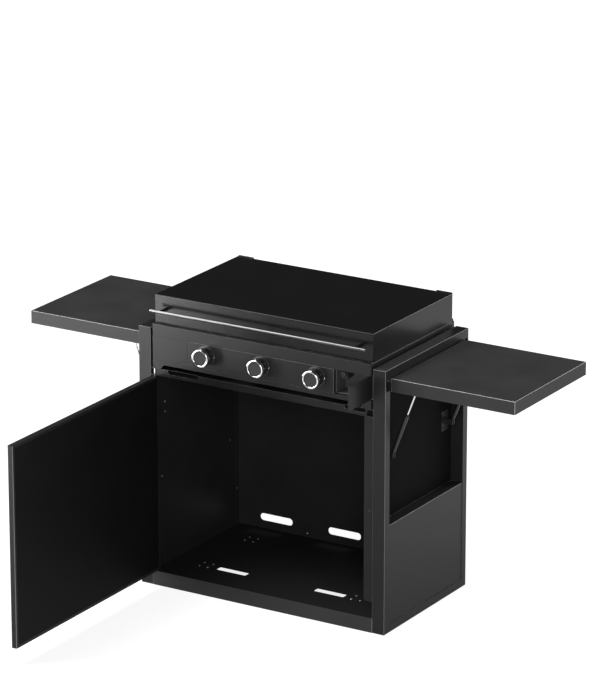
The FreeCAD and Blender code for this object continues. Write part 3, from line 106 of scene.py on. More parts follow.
bpy.ops.object.select_all(action="DESELECT")
bpy.ops.mesh.primitive_plane_add(size=floor_size, location=(0.0, 0.0, 0.0))
floor = bpy.context.object
floor.name = "studio_floor"

floor_paint = bpy.data.materials.new("floor_paint")
floor_paint.use_nodes = True
floor_tree = floor_paint.node_tree
floor_tree.nodes.clear()
matte_grey = add_node(floor_tree, "BsdfDiffuse", {"Color": floor_grey})
floor_place = add_node(floor_tree, "TexCoord").outputs["Object"]
reach = length_of(floor_tree, floor_place)
fade = spread_over(floor_tree, reach, near_glow, 1.0, start=shadow_reach, end=white_reach,
                   interpolation_type="SMOOTHSTEP")
# Painted shade: the glow that reflections see is lowered near the station.
mirrored_shade_fade = spread_over(floor_tree, reach, mirrored_shaded_glow, 1.0,
                            start=mirrored_shadow_reach, end=mirrored_white_reach)
floor_ray = add_node(floor_tree, "LightPath").outputs
seen_glow = number_from(floor_tree, "MULTIPLY", fade, floor_ray["Is Camera Ray"])
mirrored_glow = number_from(floor_tree, "MULTIPLY", mirrored_shade_fade, floor_ray["Is Glossy Ray"])
glow_strength = number_from(floor_tree, "MAXIMUM", seen_glow, mirrored_glow)
glow = add_node(floor_tree, "Emission", {"Strength": glow_strength})
both = add_node(floor_tree, "AddShader", {0: matte_grey.outputs["BSDF"], 1: glow.outputs["Emission"]})
add_node(floor_tree, "OutputMaterial", {"Surface": both.outputs["Shader"]})
floor.data.materials.append(floor_paint)

# Studio light: a dim even sky, which the picture shows white, and flat lamps. The tall one at
# the left front gives the fronts their sheen, and the others draw the light lines on the edges.

sky_strength = 0.04

sky = bpy.data.worlds.new("sky")
bpy.context.scene.world = sky
sky.use_nodes = True
sky_tree = sky.node_tree
background = sky_tree.nodes["Background"]
background.inputs["Color"].default_value = (1.0, 1.0, 1.0, 1.0)
sky_ray = add_node(sky_tree, "LightPath").outputs["Is Camera Ray"]
sky_tree.links.new(spread_over(sky_tree, sky_ray, sky_strength, 1.0), background.inputs["Strength"])


def panel_lamp(name, place, target, width, height, power, lights_paint=True):
    """A flat lamp that faces a point. Without lights_paint it only shows in reflections."""
    light = bpy.data.lights.new(name, "AREA")
    light.shape = "RECTANGLE"
    light.size = width
    light.size_y = height
    light.energy = power
    lamp = bpy.data.objects.new(name, light)
    lamp.location = place
    lamp.rotation_euler = (Vector(target) - Vector(place)).to_track_quat("-Z", "Y").to_euler()
    lamp.visible_camera = False
    lamp.visible_diffuse = lights_paint
    bpy.context.collection.objects.link(lamp)


panel_lamp("left_front_lamp", (-2.0, -1.75, 0.95), (-0.35, 0.0, 0.95),
           width=0.9, height=1.6, power=80.0, lights_paint=False)
panel_lamp("left_top_lamp", (-2.0, -1.2, 4.3), (0.0, 0.2, 0.9), width=2.2, height=2.2, power=225.0)
panel_lamp("rear_lamp", (1.5, 3.3, 2.8), (0.2, 0.3, 0.7), width=1.8, height=1.8, power=75.0)
panel_lamp("right_front_lamp", (2.4, -1.4, 1.2), (0.4, 0.0, 0.9), width=0.4, height=1.5, power=10.0)
panel_lamp("front_lamp", (3.2, -5.3, 2.7), (0.0, 0.2, 0.8), width=2.5, height=2.5, power=240.0)

# Side panels: folded steel boxes that carry everything, each with a recess that takes the
# folded shelf and a plate that closes the recess's lower half. All have a satin black coat.

# Painted shade: in this box, the recess under each shelf, the coat is painted darker.
recess_low = (0.4222, 0.031, 0.373)
recess_high = (0.435, 0.507, 0.8685)
recess_shade_tone = 0.3
recess_gloss = 0.1
recess_roughness = 0.85
coat_clouds = 7.0
coat_dimples = 900.0
roughness_swing = 0.05


def new_finish(name):
    """A new finish: the material, its nodes and its object's own coordinates and normal."""
    material = bpy.data.materials.new(name)
    material.use_nodes = True
    return material, material.node_tree, add_node(material.node_tree, "TexCoord").outputs


def clouds_in(tree, place, scale, detail=2.0):
    """Soft random clouds, from 0 to 1."""
    return add_node(tree, "TexNoise", {"Vector": place, "Scale": scale, "Detail": detail}).outputs["Fac"]


def mottled(tree, clouds, colour, darker, lighter):
    """The colour, times darker in the clouds' dark spots and times lighter in their light ones."""
    tint = add_node(tree, "ValToRGB", {"Fac": clouds})
    for stop, position, tone in zip(tint.color_ramp.elements, (0.3, 0.7), (darker, lighter)):
        stop.position = position
        stop.color = [min(c * tone, 1.0) for c in colour] + [1.0]
    return tint.outputs["Color"]


def painted_over(tree, share, under, over):
    """One colour where the share is 0 and another over it where the share is 1."""
    colours = {"Factor": share, "A": under, "B": over}
    return add_node(tree, "Mix", colours, data_type="RGBA").outputs["Result"]


def vector_from(tree, operation, *terms):
    """A vector worked out from others."""
    return add_node(tree, "VectorMath", enumerate(terms), operation=operation).outputs["Vector"]


def largest_of(tree, vector):
    """The largest of a vector's three parts, whatever their signs."""
    size = vector_from(tree, "ABSOLUTE", vector)
    parts = add_node(tree, "SeparateXYZ", {"Vector": size}).outputs
    return number_from(tree, "MAXIMUM", number_from(tree, "MAXIMUM", parts["X"], parts["Y"]), parts["Z"])


def set_surface(tree, colour, roughness, relief, strength, depth):
    """Gives a finish's shader its colour, its roughness and its fine relief."""
    shader = tree.nodes["Principled BSDF"]
    bump = add_node(tree, "Bump", {"Height": relief, "Strength": strength, "Distance": depth})
    tree.links.new(colour, shader.inputs["Base Color"])
    tree.links.new(roughness, shader.inputs["Roughness"])
    tree.links.new(bump.outputs["Normal"], shader.inputs["Normal"])


def coated_steel(name, colour, roughness, gloss=0.3, skin=0.00010, recess=None, bend_highlight=None):
    """Baked powder paint: faint clouds, a dimpled skin and, with recess, a hollow with painted shade.

    recess is a box on the right, mirrored to the left, where the paint is darker, a painted shade, and
    duller.
    The grey given for bends is painted on rounded folds, lighter than the paint: a painted highlight.
    """
    material, tree, place = new_finish(name)
    shader = tree.nodes["Principled BSDF"]
    shader.inputs["Specular IOR Level"].default_value = gloss
    clouds = clouds_in(tree, place["Object"], coat_clouds, detail=4.0)
    paint = mottled(tree, clouds, colour, darker=0.88, lighter=1.12)
    dullness = spread_over(tree, clouds, roughness - roughness_swing, roughness + roughness_swing)
    if recess:
        low, high = Vector(recess[0]), Vector(recess[1])
        either_side = vector_from(tree, "ABSOLUTE", place["Object"])
        from_middle = vector_from(tree, "SUBTRACT", either_side, (low + high) / 2)
        in_half_sizes = vector_from(tree, "DIVIDE", from_middle, (high - low) / 2)
        inside = number_from(tree, "LESS_THAN", largest_of(tree, in_half_sizes), 1.0)
        # Painted shade: inside the box the paint is darkened.
        paint = painted_over(tree, inside, paint, [c * recess_shade_tone for c in colour] + [1.0])
        dullness = spread_over(tree, inside, dullness, recess_roughness)
        tree.links.new(spread_over(tree, inside, gloss, recess_gloss), shader.inputs["Specular IOR Level"])
    if bend_highlight:
        # Painted highlight: rounded folds are painted a lighter grey.
        folded = spread_over(tree, largest_of(tree, place["Normal"]), 1.0, 0.0, start=0.90, end=0.99)
        paint = painted_over(tree, folded, paint, [bend_highlight] * 3 + [1.0])
    dimples = clouds_in(tree, place["Object"], coat_dimples)
    set_surface(tree, paint, dullness, dimples, strength=0.4, depth=skin)
    return material


def dress(finish, *nodes, edge=0.0009, edge_highlight=None, plain=False):
    """Gives CAD pieces this finish, and breaks their sharp edges by this much.

    A second finish given for the broken edges is put on them as a painted highlight. A plain piece has no
    ring-shaped faces, so its flat faces are merged first.
    """
    for node in nodes:
        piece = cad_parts[node]
        piece.data.materials.clear()
        piece.data.materials.append(finish)
        if edge:
            weld = piece.modifiers.new("merged_corners", "WELD")
            weld.merge_threshold = 0.00001
            if plain:
                merged = piece.modifiers.new("flat_faces", "DECIMATE")
                merged.decimate_type = "DISSOLVE"
                merged.angle_limit = math.radians(0.4)
            softened = piece.modifiers.new("broken_edges", "BEVEL")
            softened.width = edge
            softened.segments = 2
            softened.limit_method = "ANGLE"
            softened.angle_limit = math.radians(40.0)
            softened.harden_normals = plain
            if edge_highlight:
                piece.data.materials.append(edge_highlight)
                softened.material = 1


# Painted highlight: a light, glossy grey for broken edges, standing in for the light lines that lamps draw
# there.
highlight_grey = coated_steel("highlight_grey", (0.42, 0.42, 0.42), 0.35, gloss=0.6)
body_coat = coated_steel("body_coat", (0.012, 0.012, 0.0123), 0.42, gloss=0.25,
                         recess=(recess_low, recess_high), bend_highlight=0.2)
dress(body_coat, "side_panel_left", "side_panel_right", edge=0.0012, edge_highlight=highlight_grey)
dress(body_coat, "side_skins", edge_highlight=highlight_grey)

# Cabinet floor, back and deck: folded steel sheets between the side panels, with slots that let air in and
# heavy gas out. Inside the cabinet the coat is duller, and on the floor plate it is also painted darker, a
# painted shade.

kick_plate_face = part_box("floor_plate")[0].y
kick_plate_skin = 0.0004
shaded_indoors_low = (-0.5, kick_plate_face + kick_plate_skin, -0.1)
shaded_indoors_high = (0.5, 0.6, 0.8)
inner_coat = coated_steel("inner_coat", (0.014, 0.014, 0.0143), 0.6, gloss=0.12)
deck_coat = coated_steel("deck_coat", (0.005, 0.005, 0.0053), 0.32, gloss=0.25, bend_highlight=0.5)
# Painted shade: behind the kick plate's front face the floor plate's paint is darkened.
floor_coat = coated_steel("floor_coat", (0.030, 0.030, 0.0305), 0.45, recess=(shaded_indoors_low, shaded_indoors_high))
dress(floor_coat, "floor_plate")
dress(inner_coat, "back_panel")
dress(deck_coat, "deck", edge=0.0012, edge_highlight=highlight_grey)

# Levelling feet: threaded stems on round pads, each in a square plate under the cabinet's
# floor. All are zinc-plated steel, and four screws hold each plate.

metal_lines = 700.0
metal_clouds = 14.0


def bare_metal(name, colour, roughness, stretch=(1.0, 1.0, 1.0), line_depth=0.000012):
    """Metal whose rolling or drawing lines run along the axis that stretch leaves small."""
    material, tree, place = new_finish(name)
    tree.nodes["Principled BSDF"].inputs["Metallic"].default_value = 1.0
    along_lines = add_node(tree, "Mapping", {"Vector": place["Object"], "Scale": stretch}).outputs["Vector"]
    lines = clouds_in(tree, along_lines, metal_lines, detail=3.0)
    clouds = clouds_in(tree, place["Object"], metal_clouds, detail=3.0)
    both_halved = number_from(tree, "MULTIPLY_ADD", lines, 0.5, number_from(tree, "MULTIPLY", clouds, 0.5))
    tint = mottled(tree, both_halved, colour, darker=0.82, lighter=1.12)
    dullness = spread_over(tree, both_halved, roughness * 0.75, roughness * 1.25)
    set_surface(tree, tint, dullness, lines, strength=0.3, depth=line_depth)
    return material


zinc = bare_metal("zinc", (0.42, 0.42, 0.44), 0.38)
dress(zinc, "levelling_feet", edge=0.0004)

# Screws: small zinc pan heads with a round socket. Sixteen hold the feet to the floor, and
# the others hold the strut brackets, the side skins and the back panel.

foot_columns = (-0.295, 0.295)
foot_rows = (0.130, 0.414)
half_pitch = 0.0165
floor_top = 0.053
panel_face = 0.422
flange_face = 0.4205
back_face = 0.5358
bracket_rows = (0.082, 0.455)
bracket_levels = (0.622, 0.587)
skin_screw_rear = (panel_face, 0.482, 0.368)
skin_screw_front = (panel_face, 0.059, 0.367)
flange_screw = (flange_face, 0.524, 0.183)
back_screw = (-0.147, back_face, 0.066)


def place_primitive(kind, **settings):
    """Adds a primitive at its size and place, alone selected, with its place in its mesh."""
    bpy.ops.object.select_all(action="DESELECT")
    getattr(bpy.ops.mesh, "primitive_" + kind + "_add")(**settings)
    bpy.ops.object.transform_apply(location=True, rotation=True, scale=True)
    return bpy.context.object


def push_out(extrude, direction, centre, steps):
    """Extrudes what is selected along a direction, in steps of (advance, radius)."""
    radius = steps[0][1]
    for advance, next_radius in steps[1:]:
        extrude(TRANSFORM_OT_translate={"value": direction * advance})
        centre = centre + direction * advance
        shrink = next_radius / radius
        bpy.ops.transform.resize(value=(shrink, shrink, shrink), center_override=centre)
        radius = next_radius


def turned(direction, start, steps, sides=24):
    """A turned solid: a round face pushed along a direction, in steps of (advance, radius)."""
    direction = Vector(direction).normalized()
    piece = place_primitive("circle", vertices=sides, radius=steps[0][1], fill_type="NGON",
                            location=start, rotation=direction.to_track_quat("Z", "Y").to_euler())
    bpy.ops.object.mode_set(mode="EDIT")
    bpy.ops.mesh.select_all(action="SELECT")
    push_out(bpy.ops.mesh.extrude_region_move, direction, Vector(start), steps)
    return piece


def close_piece(piece, name, finish, smooth=35.0):
    """Ends the editing: faces outwards, smooth where round, and with its finish."""
    bpy.ops.mesh.select_all(action="SELECT")
    bpy.ops.mesh.normals_make_consistent(inside=False)
    bpy.ops.object.mode_set(mode="OBJECT")
    bpy.ops.object.shade_smooth_by_angle(angle=math.radians(smooth))
    piece.name = name
    piece.data.name = name
    piece.data.materials.append(finish)
    return piece


def copy_of(piece, name, place):
    """A copy with its own mesh, turned and moved by a matrix, that isn't tied to a body yet."""
    copy = bpy.data.objects.new(name, piece.data.copy())
    copy.data.name = name
    copy.data.transform(place)
    bpy.context.collection.objects.link(copy)
    return copy


foot_screw_steps = [(0, 0.002), (0.008, 0.002), (0, 0.0045), (0.0013, 0.0045), (0.0008, 0.0038),
                    (0.0004, 0.0026), (0, 0.0017), (-0.0014, 0.0014)]
wall_screw_steps = [(0, 0.0035), (0.001, 0.0035), (0.0005, 0.003), (0.0003, 0.002), (0, 0.0013),
                    (-0.001, 0.0011)]
foot_screw = close_piece(turned((0, 0, 1), (0, 0, -0.008), foot_screw_steps), "foot_screw", zinc)
wall_screw = close_piece(turned((0, 0, 1), (0, 0, 0), wall_screw_steps), "wall_screw", zinc)

screw_places = []
for x in foot_columns:
    for y in foot_rows:
        for dx in (-half_pitch, half_pitch):
            for dy in (-half_pitch, half_pitch):
                screw_places.append((foot_screw, Matrix.Translation((x + dx, y + dy, floor_top))))
for side in (-1, 1):
    seats = [(panel_face, y, z) for y in bracket_rows for z in bracket_levels]
    seats += [skin_screw_rear, flange_screw]
    if side < 0:
        seats.append(skin_screw_front)
    inwards = Matrix.Rotation(math.radians(-90.0 * side), 4, "Y")
    for face, y, z in seats:
        screw_places.append((wall_screw, Matrix.Translation((side * face, y, z)) @ inwards))
forwards = Matrix.Rotation(math.radians(90.0), 4, "X")
screw_places.append((wall_screw, Matrix.Translation(back_screw) @ forwards))
for number, (screw, place) in enumerate(screw_places, 1):
    piece = copy_of(screw, f"cabinet_screw_{number}", place)
    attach(piece, "cabinet")
    if number == 1:
        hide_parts("cabinet_screws")
for model in (foot_screw, wall_screw):
    bpy.data.objects.remove(model)

# Door stop: a folded black strip inside the right-hand post, with a hole for the moulded
# catch whose magnet holds the door shut.


def moulded(name, colour, roughness, grain=1500.0, relief=0.0001):
    """Plastic, rubber or glazed clay: finely uneven in colour, with the mould's etched skin."""
    material, tree, place = new_finish(name)
    etch = clouds_in(tree, place["Object"], grain)
    tint = mottled(tree, etch, colour, darker=0.85, lighter=1.15)
    dullness = spread_over(tree, etch, roughness - roughness_swing, roughness + roughness_swing)
    set_surface(tree, tint, dullness, etch, strength=0.3, depth=relief)
    return material


black_plastic = moulded("black_plastic", (0.011, 0.011, 0.011), 0.42)
dress(body_coat, "door_stop")
dress(black_plastic, "door_magnet", edge=0.0006)

# Cabinet door: a folded steel pan closed by an inner sheet, on two upright zinc pins. Outside it has the
# body's coat, and inside a darker, duller one, whose darkness is painted shade.

# Painted shade: the door's inner face has the body's black painted darker.
shaded_door_coat = coated_steel("shaded_door_coat", (0.004, 0.004, 0.0042), 0.55, gloss=0.12)
dress(body_coat, "door_panel", edge=0)
dress(shaded_door_coat, "door_liner", edge=0.0003)
dress(zinc, "hinge_pins", edge=0.0005)

# Side shelves: folded trays, open below, that hinge on pins in the side panels' caps. Their
# coat is a little lighter and rougher, for a worktop.

shelf_coat = coated_steel("shelf_coat", (0.024, 0.024, 0.0245), 0.5, gloss=0.25, bend_highlight=0.5)
dress(shelf_coat, "side_shelf_left", "side_shelf_right", edge=0.0016, edge_highlight=highlight_grey, plain=True)

# Strut brackets and gas struts: black zinc-plated brackets in the recess hold black gas
# cylinders, whose chromed rods push the shelves' hangers. A rolled gland closes each cylinder.

strut_rows = (("front", 0.075), ("rear", 0.462))
strut_foot = (0.450, 0.595)
strut_head = (0.5425, 0.835)
gland_reach = 0.1525
gland_steps = [(0, 0.0031), (0, 0.0055), (0.0008, 0.0062), (0.0022, 0.0062), (0.0010, 0.0050),
               (0.0012, 0.0042), (0, 0.0031)]

black_zinc = coated_steel("black_zinc", (0.013, 0.013, 0.0135), 0.36, gloss=0.4)
chrome = bare_metal("chrome", (0.78, 0.78, 0.79), 0.07, line_depth=0.000002)
cylinder_paint = coated_steel("cylinder_paint", (0.010, 0.010, 0.010), 0.25, gloss=0.5, skin=0.00003)
dress(black_zinc, "strut_brackets", edge=0.0004)
gland_model = close_piece(turned((0, 0, 1), (0, 0, 0), gland_steps), "gland_model", black_zinc)
for side, sign in (("left", -1), ("right", 1)):
    for end, y in strut_rows:
        strut = f"{side}_{end}"
        dress(cylinder_paint, "strut_cylinder_" + strut, edge=0.0005)
        dress(chrome, "strut_rod_" + strut, edge=0)
        foot = Vector((sign * strut_foot[0], y, strut_foot[1]))
        head = Vector((sign * strut_head[0], y, strut_head[1]))
        along = (head - foot).normalized()
        leaning = along.to_track_quat("Z", "Y").to_matrix().to_4x4()
        gland = copy_of(gland_model, "strut_gland_" + strut,
                        Matrix.Translation(foot + along * gland_reach) @ leaning)
        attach(gland, "strut_" + strut)
bpy.data.objects.remove(gland_model)

# Hose grommet: a soft black ring round a hole in the deck's left rear corner, where the gas
# hose passes. It is moulded in rubber and snapped over the sheet's edge.

black_rubber = moulded("black_rubber", (0.008, 0.008, 0.008), 0.6, grain=800.0)
dress(black_rubber, "hose_grommet", edge=0.0005)

# Grease tray: a folded and welded steel pan that slides on the deck, with a tab at the back
# and a lip at the front, which has a grip strip of bare brushed steel.

grip_thickness = 0.0016
grip_height = 0.012
lip_height = 0.0356
lip_end = 0.006
tray_low, tray_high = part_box("grease_tray")
lip_top = tray_low.z + lip_height

tray_coat = coated_steel("tray_coat", (0.012, 0.012, 0.0123), 0.3, gloss=0.5)
grip_steel = bare_metal("grip_steel", (0.06, 0.06, 0.06), 0.5, stretch=(0.06, 1.0, 1.0))
dress(tray_coat, "grease_tray", edge=0.0007, edge_highlight=highlight_grey)


def block_between(low, high):
    """A block between two corners, open for editing and selected all over."""
    low, high = Vector(low), Vector(high)
    block = place_primitive("cube", size=1.0, location=(low + high) / 2, scale=high - low)
    bpy.ops.object.mode_set(mode="EDIT")
    bpy.ops.mesh.select_all(action="SELECT")
    return block


tray_grip = block_between((tray_low.x, tray_low.y - grip_thickness, lip_top - grip_height),
                          (tray_high.x - lip_end, tray_low.y, lip_top))
bpy.ops.mesh.bevel(offset=0.0005, segments=2)
tray_grip = close_piece(tray_grip, "tray_grip", grip_steel)
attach(tray_grip, "tray")

# Burner box: a base on four feet, sides, a rim with the ledge that the griddle stands on, and
# the front strip that carries the knobs. All folded steel with the same satin coat.

fascia_low, fascia_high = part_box("control_panel")
fascia_sheet = 0.0012
return_gap = 0.0002
return_drop = 0.001

box_coat = coated_steel("box_coat", (0.012, 0.012, 0.0123), 0.38, gloss=0.23)
dress(box_coat, "box_base", "box_sides", "box_rim", edge=0.0012, edge_highlight=highlight_grey)
dress(box_coat, "control_panel", edge=0.0008, edge_highlight=highlight_grey, plain=True)
dress(box_coat, "end_panel", edge=0.0008, edge_highlight=highlight_grey)


def pick(kind, test):
    """Selects the open piece's faces or edges whose middle and normal, or run, pass a test."""
    bpy.ops.mesh.select_mode(type=kind)
    bpy.ops.mesh.select_all(action="DESELECT")
    mesh = bmesh.from_edit_mesh(bpy.context.object.data)
    if kind == "FACE":
        for face in mesh.faces:
            if test(face.calc_center_median(), face.normal):
                face.select_set(True)
    else:
        for edge in mesh.edges:
            run = edge.verts[1].co - edge.verts[0].co
            if test((edge.verts[0].co + edge.verts[1].co) / 2, run.normalized()):
                edge.select_set(True)
    bmesh.update_edit_mesh(bpy.context.object.data)


fascia_return = block_between(
    (fascia_high.x - fascia_sheet, fascia_low.y + fascia_sheet, fascia_low.z + return_drop),
    (fascia_high.x - return_gap, fascia_high.y, fascia_high.z - return_drop))
pick("EDGE", lambda middle, run: abs(run.x) > 0.9)
bpy.ops.mesh.bevel(offset=0.0004, segments=2)
fascia_return = close_piece(fascia_return, "fascia_return", box_coat)
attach(fascia_return, "burner_box")

# Battery compartment: a moulded liner behind a small steel door at the right of the front
# strip, with the ribbed cap that closes the igniter's battery.

module_low, module_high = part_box("igniter_module")
case_setback = 0.008
module_front = module_low.y + case_setback
module_centre = (module_low + module_high) / 2
cap_radius = 0.0115
cap_ribs = 20
cap_turn = 2 * math.pi / cap_ribs
cap_steps = [(0, cap_radius - 0.001), (0.0014, cap_radius - 0.001), (0, cap_radius - 0.0004),
             (0.0052, cap_radius - 0.0004), (0.0012, cap_radius - 0.0016), (0, 0.006), (-0.001, 0.0055)]

liner_plastic = moulded("liner_plastic", (0.045, 0.045, 0.045), 0.6)
dress(liner_plastic, "compartment_liner", edge=0.0005)
dress(box_coat, "compartment_door", edge=0.0008, edge_highlight=highlight_grey)

module = block_between((module_low.x, module_front, module_low.z), module_high)
pick("EDGE", lambda middle, run: abs(run.y) > 0.9)
bpy.ops.mesh.bevel(offset=0.004, segments=4)
pick("FACE", lambda middle, normal: normal.y < -0.9)
bpy.ops.mesh.inset(thickness=0.002)
bpy.ops.mesh.inset(thickness=0.0004, depth=-0.0008)
module = close_piece(module, "igniter_case", black_plastic)
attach(module, "burner_box")
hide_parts("igniter_module")

cap = turned((0, -1, 0), (module_centre.x, module_front + 0.0008, module_centre.z), cap_steps,
             sides=2 * cap_ribs)
pick("FACE", lambda middle, normal: abs(normal.y) < 0.1 and middle.y < module_front - 0.002
     and math.atan2(middle.z - module_centre.z, middle.x - module_centre.x) % cap_turn < cap_turn / 2)
bpy.ops.mesh.inset(thickness=0.0003, depth=0.0004, use_individual=True)
cap = close_piece(cap, "battery_cap", black_plastic)
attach(cap, "burner_box")

# Grease chute: a short drawn tube of stainless steel that leads the fat down to the tray. It
# is pressed into the burner pan, under the griddle's drain.

stainless = bare_metal("stainless", (0.27, 0.27, 0.267), 0.58, stretch=(0.06, 1.0, 1.0), line_depth=0.000003)
dress(stainless, "grease_chute", edge=0.0004)

# Burner pan: one pressed stainless sheet with a trough for each burner, an island inside each
# trough and a wall all round. The press leaves every bend rounded.

pan_low, pan_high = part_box("burner_pan")
burners_low, burners_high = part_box("u_burners")
chute_low, chute_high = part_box("grease_chute")
tube_radius = (burners_high.z - burners_low.z) / 2
leg_half_pitch = 0.085
burner_reach = tube_radius + leg_half_pitch
burner_centres = (burners_low.x + burner_reach, 0.0, burners_high.x - burner_reach)
pan_sheet = 0.001
pan_level = 0.8703
trough_level = pan_low.z + pan_sheet
island_level = 0.8683
press_radius = 0.0034
level_slack = 0.0002
top_slack = 0.0001
wall_clear = 0.02
front_clear = 0.003
chute_place = ((chute_low.x + chute_high.x) / 2, (chute_low.y + chute_high.y) / 2)
chute_clear = 0.018
riser_row = 0.150
middle_riser_row = 0.175
riser_clear = 0.012
pan_holes = [(*chute_place, chute_clear)]
for centre in burner_centres:
    pan_holes += [(centre - leg_half_pitch, riser_row, riser_clear),
                  (centre + leg_half_pitch, riser_row, riser_clear),
                  (centre, middle_riser_row, riser_clear)]


def cad_copy(node):
    """A copy of a CAD node, open for editing, with its loose triangles merged into flat faces."""
    piece = bpy.data.objects.new(node + "_copy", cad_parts[node].data.copy())
    piece.data.materials.clear()
    bpy.context.collection.objects.link(piece)
    bpy.ops.object.select_all(action="DESELECT")
    piece.select_set(True)
    bpy.context.view_layer.objects.active = piece
    bpy.ops.object.mode_set(mode="EDIT")
    bpy.ops.mesh.select_all(action="SELECT")
    bpy.ops.mesh.remove_doubles(threshold=0.00001)
    bpy.ops.mesh.dissolve_limited(angle_limit=math.radians(1.0))
    return piece


def pick_bends(test, least=40.0):
    """Selects the open piece's edges that turn by at least this and whose ends pass a test."""
    bpy.ops.mesh.select_mode(type="EDGE")
    bpy.ops.mesh.select_all(action="DESELECT")
    for edge in bmesh.from_edit_mesh(bpy.context.object.data).edges:
        sharp = edge.calc_face_angle(0.0) > math.radians(least)
        if sharp and test(edge.verts[0].co) and test(edge.verts[1].co):
            edge.select_set(True)
    bmesh.update_edit_mesh(bpy.context.object.data)


def in_the_pressing(point):
    """At one of the pan's three levels, away from its holes, its front edge and outer wall."""
    if abs(point.x) > pan_high.x - wall_clear:
        return False
    if not pan_low.y + front_clear < point.y < pan_high.y - wall_clear:
        return False
    if any(math.hypot(point.x - x, point.y - y) < clear for x, y, clear in pan_holes):
        return False
    return any(level - pan_sheet - level_slack < point.z < level + level_slack
               for level in (pan_level, trough_level, island_level))


pan = cad_copy("burner_pan")
pick_bends(in_the_pressing)
bpy.ops.mesh.bevel(offset=press_radius, segments=4)
pick_bends(lambda point: point.z > pan_high.z - top_slack)
bpy.ops.mesh.bevel(offset=0.0003, segments=2)
pan = close_piece(pan, "pressed_pan", stainless, smooth=28.0)
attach(pan, "burner_box")
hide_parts("burner_pan")

# U burners: a bent stainless tube in each trough, with a row of slots along both flanks for
# the flames and both ends pinched shut. A black clip holds the left leg near the front.

tube_level = (burners_high.z + burners_low.z) / 2
burner_front = burners_low.y
bend_radius = 0.038
bend_start = burners_high.y - tube_radius - bend_radius
half_cross = leg_half_pitch - bend_radius
pinch_length = 0.014
pinch_width = 1.15
pinch_height = 0.35
slot_step = 0.0075
slot_margin = 0.03
slot_low, slot_high = 0.25, 0.62
slot_rim = 0.0007
slot_depth = 0.0007
clip_row = 0.118
clip_width = 0.009
clip_sheet = 0.0012
clip_gap = 0.0002

tube_steel = bare_metal("tube_steel", (0.40, 0.40, 0.397), 0.34,
                        stretch=(1.0, 0.06, 1.0), line_depth=0.000003)
clip_steel = coated_steel("clip_steel", (0.012, 0.012, 0.012), 0.3, gloss=0.6, skin=0.00004)


def edge_ring(centre, direction, radius, sides):
    """An open round edge loop, in edit mode and selected, from which a tube is drawn."""
    ring = place_primitive("circle", vertices=sides, radius=radius, fill_type="NOTHING", location=centre,
                           rotation=Vector(direction).to_track_quat("Z", "Y").to_euler())
    bpy.ops.object.mode_set(mode="EDIT")
    bpy.ops.mesh.select_all(action="SELECT")
    return ring


def draw_tube(move, count=1):
    """Draws the selected loop along by a move, in equal lengths."""
    for step in range(count):
        bpy.ops.mesh.extrude_edges_move(TRANSFORM_OT_translate={"value": Vector(move) / count})


def bend_tube(bend_x):
    """Bends the selected loop through a right angle, round an upright axis at this x."""
    bpy.ops.mesh.spin(steps=8, angle=math.radians(90), axis=(0, 0, 1),
                      center=(bend_x, bend_start, tube_level))


def pinch_end(centre, move):
    """Flattens the selected open end over a short length, and closes it."""
    taper = Vector(move) * 0.6
    draw_tube(taper)
    bpy.ops.transform.resize(value=(pinch_width, 1.0, pinch_height), center_override=centre + taper)
    draw_tube(Vector(move) * 0.4)
    bpy.ops.mesh.edge_face_add()


def slot_here(middle, normal):
    """Every second length of tube, on the two flanks that face up and outwards."""
    on_leg = (abs(abs(middle.x) - leg_half_pitch) < tube_radius
              and burner_front + slot_margin < middle.y < bend_start)
    on_cross = middle.y > bend_start + bend_radius - tube_radius and abs(middle.x) < half_cross
    run = middle.y - burner_front if on_leg else middle.x + leg_half_pitch
    return slot_low < normal.z < slot_high and (on_leg or on_cross) and (run / slot_step) % 2 < 1


left_end = Vector((-leg_half_pitch, burner_front + pinch_length, tube_level))
right_end = Vector((leg_half_pitch, burner_front + pinch_length, tube_level))
leg_length = bend_start - left_end.y
leg_slots = round(leg_length / slot_step)
cross_slots = round(2 * half_cross / slot_step)
burner = edge_ring(left_end, (0, 1, 0), tube_radius, 16)
draw_tube((0, leg_length, 0), leg_slots)
bend_tube(-half_cross)
draw_tube((2 * half_cross, 0, 0), cross_slots)
bend_tube(half_cross)
draw_tube((0, -leg_length, 0), leg_slots)
pinch_end(right_end, (0, -pinch_length, 0))
pick("EDGE", lambda middle, run: abs(middle.y - left_end.y) < 0.0001 and middle.x < 0 and abs(run.y) < 0.5)
pinch_end(left_end, (0, -pinch_length, 0))
bpy.ops.mesh.select_all(action="SELECT")
bpy.ops.mesh.normals_make_consistent(inside=False)
pick("FACE", slot_here)
bpy.ops.mesh.inset(thickness=slot_rim, depth=-slot_depth, use_individual=True)
burner = close_piece(burner, "burner_tube", tube_steel, smooth=40.0)

clip = edge_ring(Vector((-leg_half_pitch, clip_row, tube_level)), (0, 1, 0), tube_radius + clip_gap, 20)
draw_tube((0, clip_width, 0))
bpy.ops.object.mode_set(mode="OBJECT")
walls = clip.modifiers.new("walls", "SOLIDIFY")
walls.thickness = clip_sheet
walls.offset = 1.0
bpy.ops.object.modifier_apply(modifier="walls")
rounds = clip.modifiers.new("rounds", "BEVEL")
rounds.width = 0.0003
rounds.segments = 2
bpy.ops.object.modifier_apply(modifier="rounds")
bpy.ops.object.mode_set(mode="EDIT")
clip = close_piece(clip, "tube_clip", clip_steel)

for number, centre in enumerate(burner_centres, 1):
    place = Matrix.Translation((centre, 0.0, 0.0))
    tube = copy_of(burner, f"u_burner_{number}", place)
    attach(tube, "burner_box")
    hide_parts("u_burners")
    band = copy_of(clip, f"burner_clip_{number}", place)
    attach(band, "burner_box")
for model in (burner, clip):
    bpy.data.objects.remove(model)

# Centre burners: a short straight stainless tube on each island, closed with rolled ends and
# slotted along both flanks.

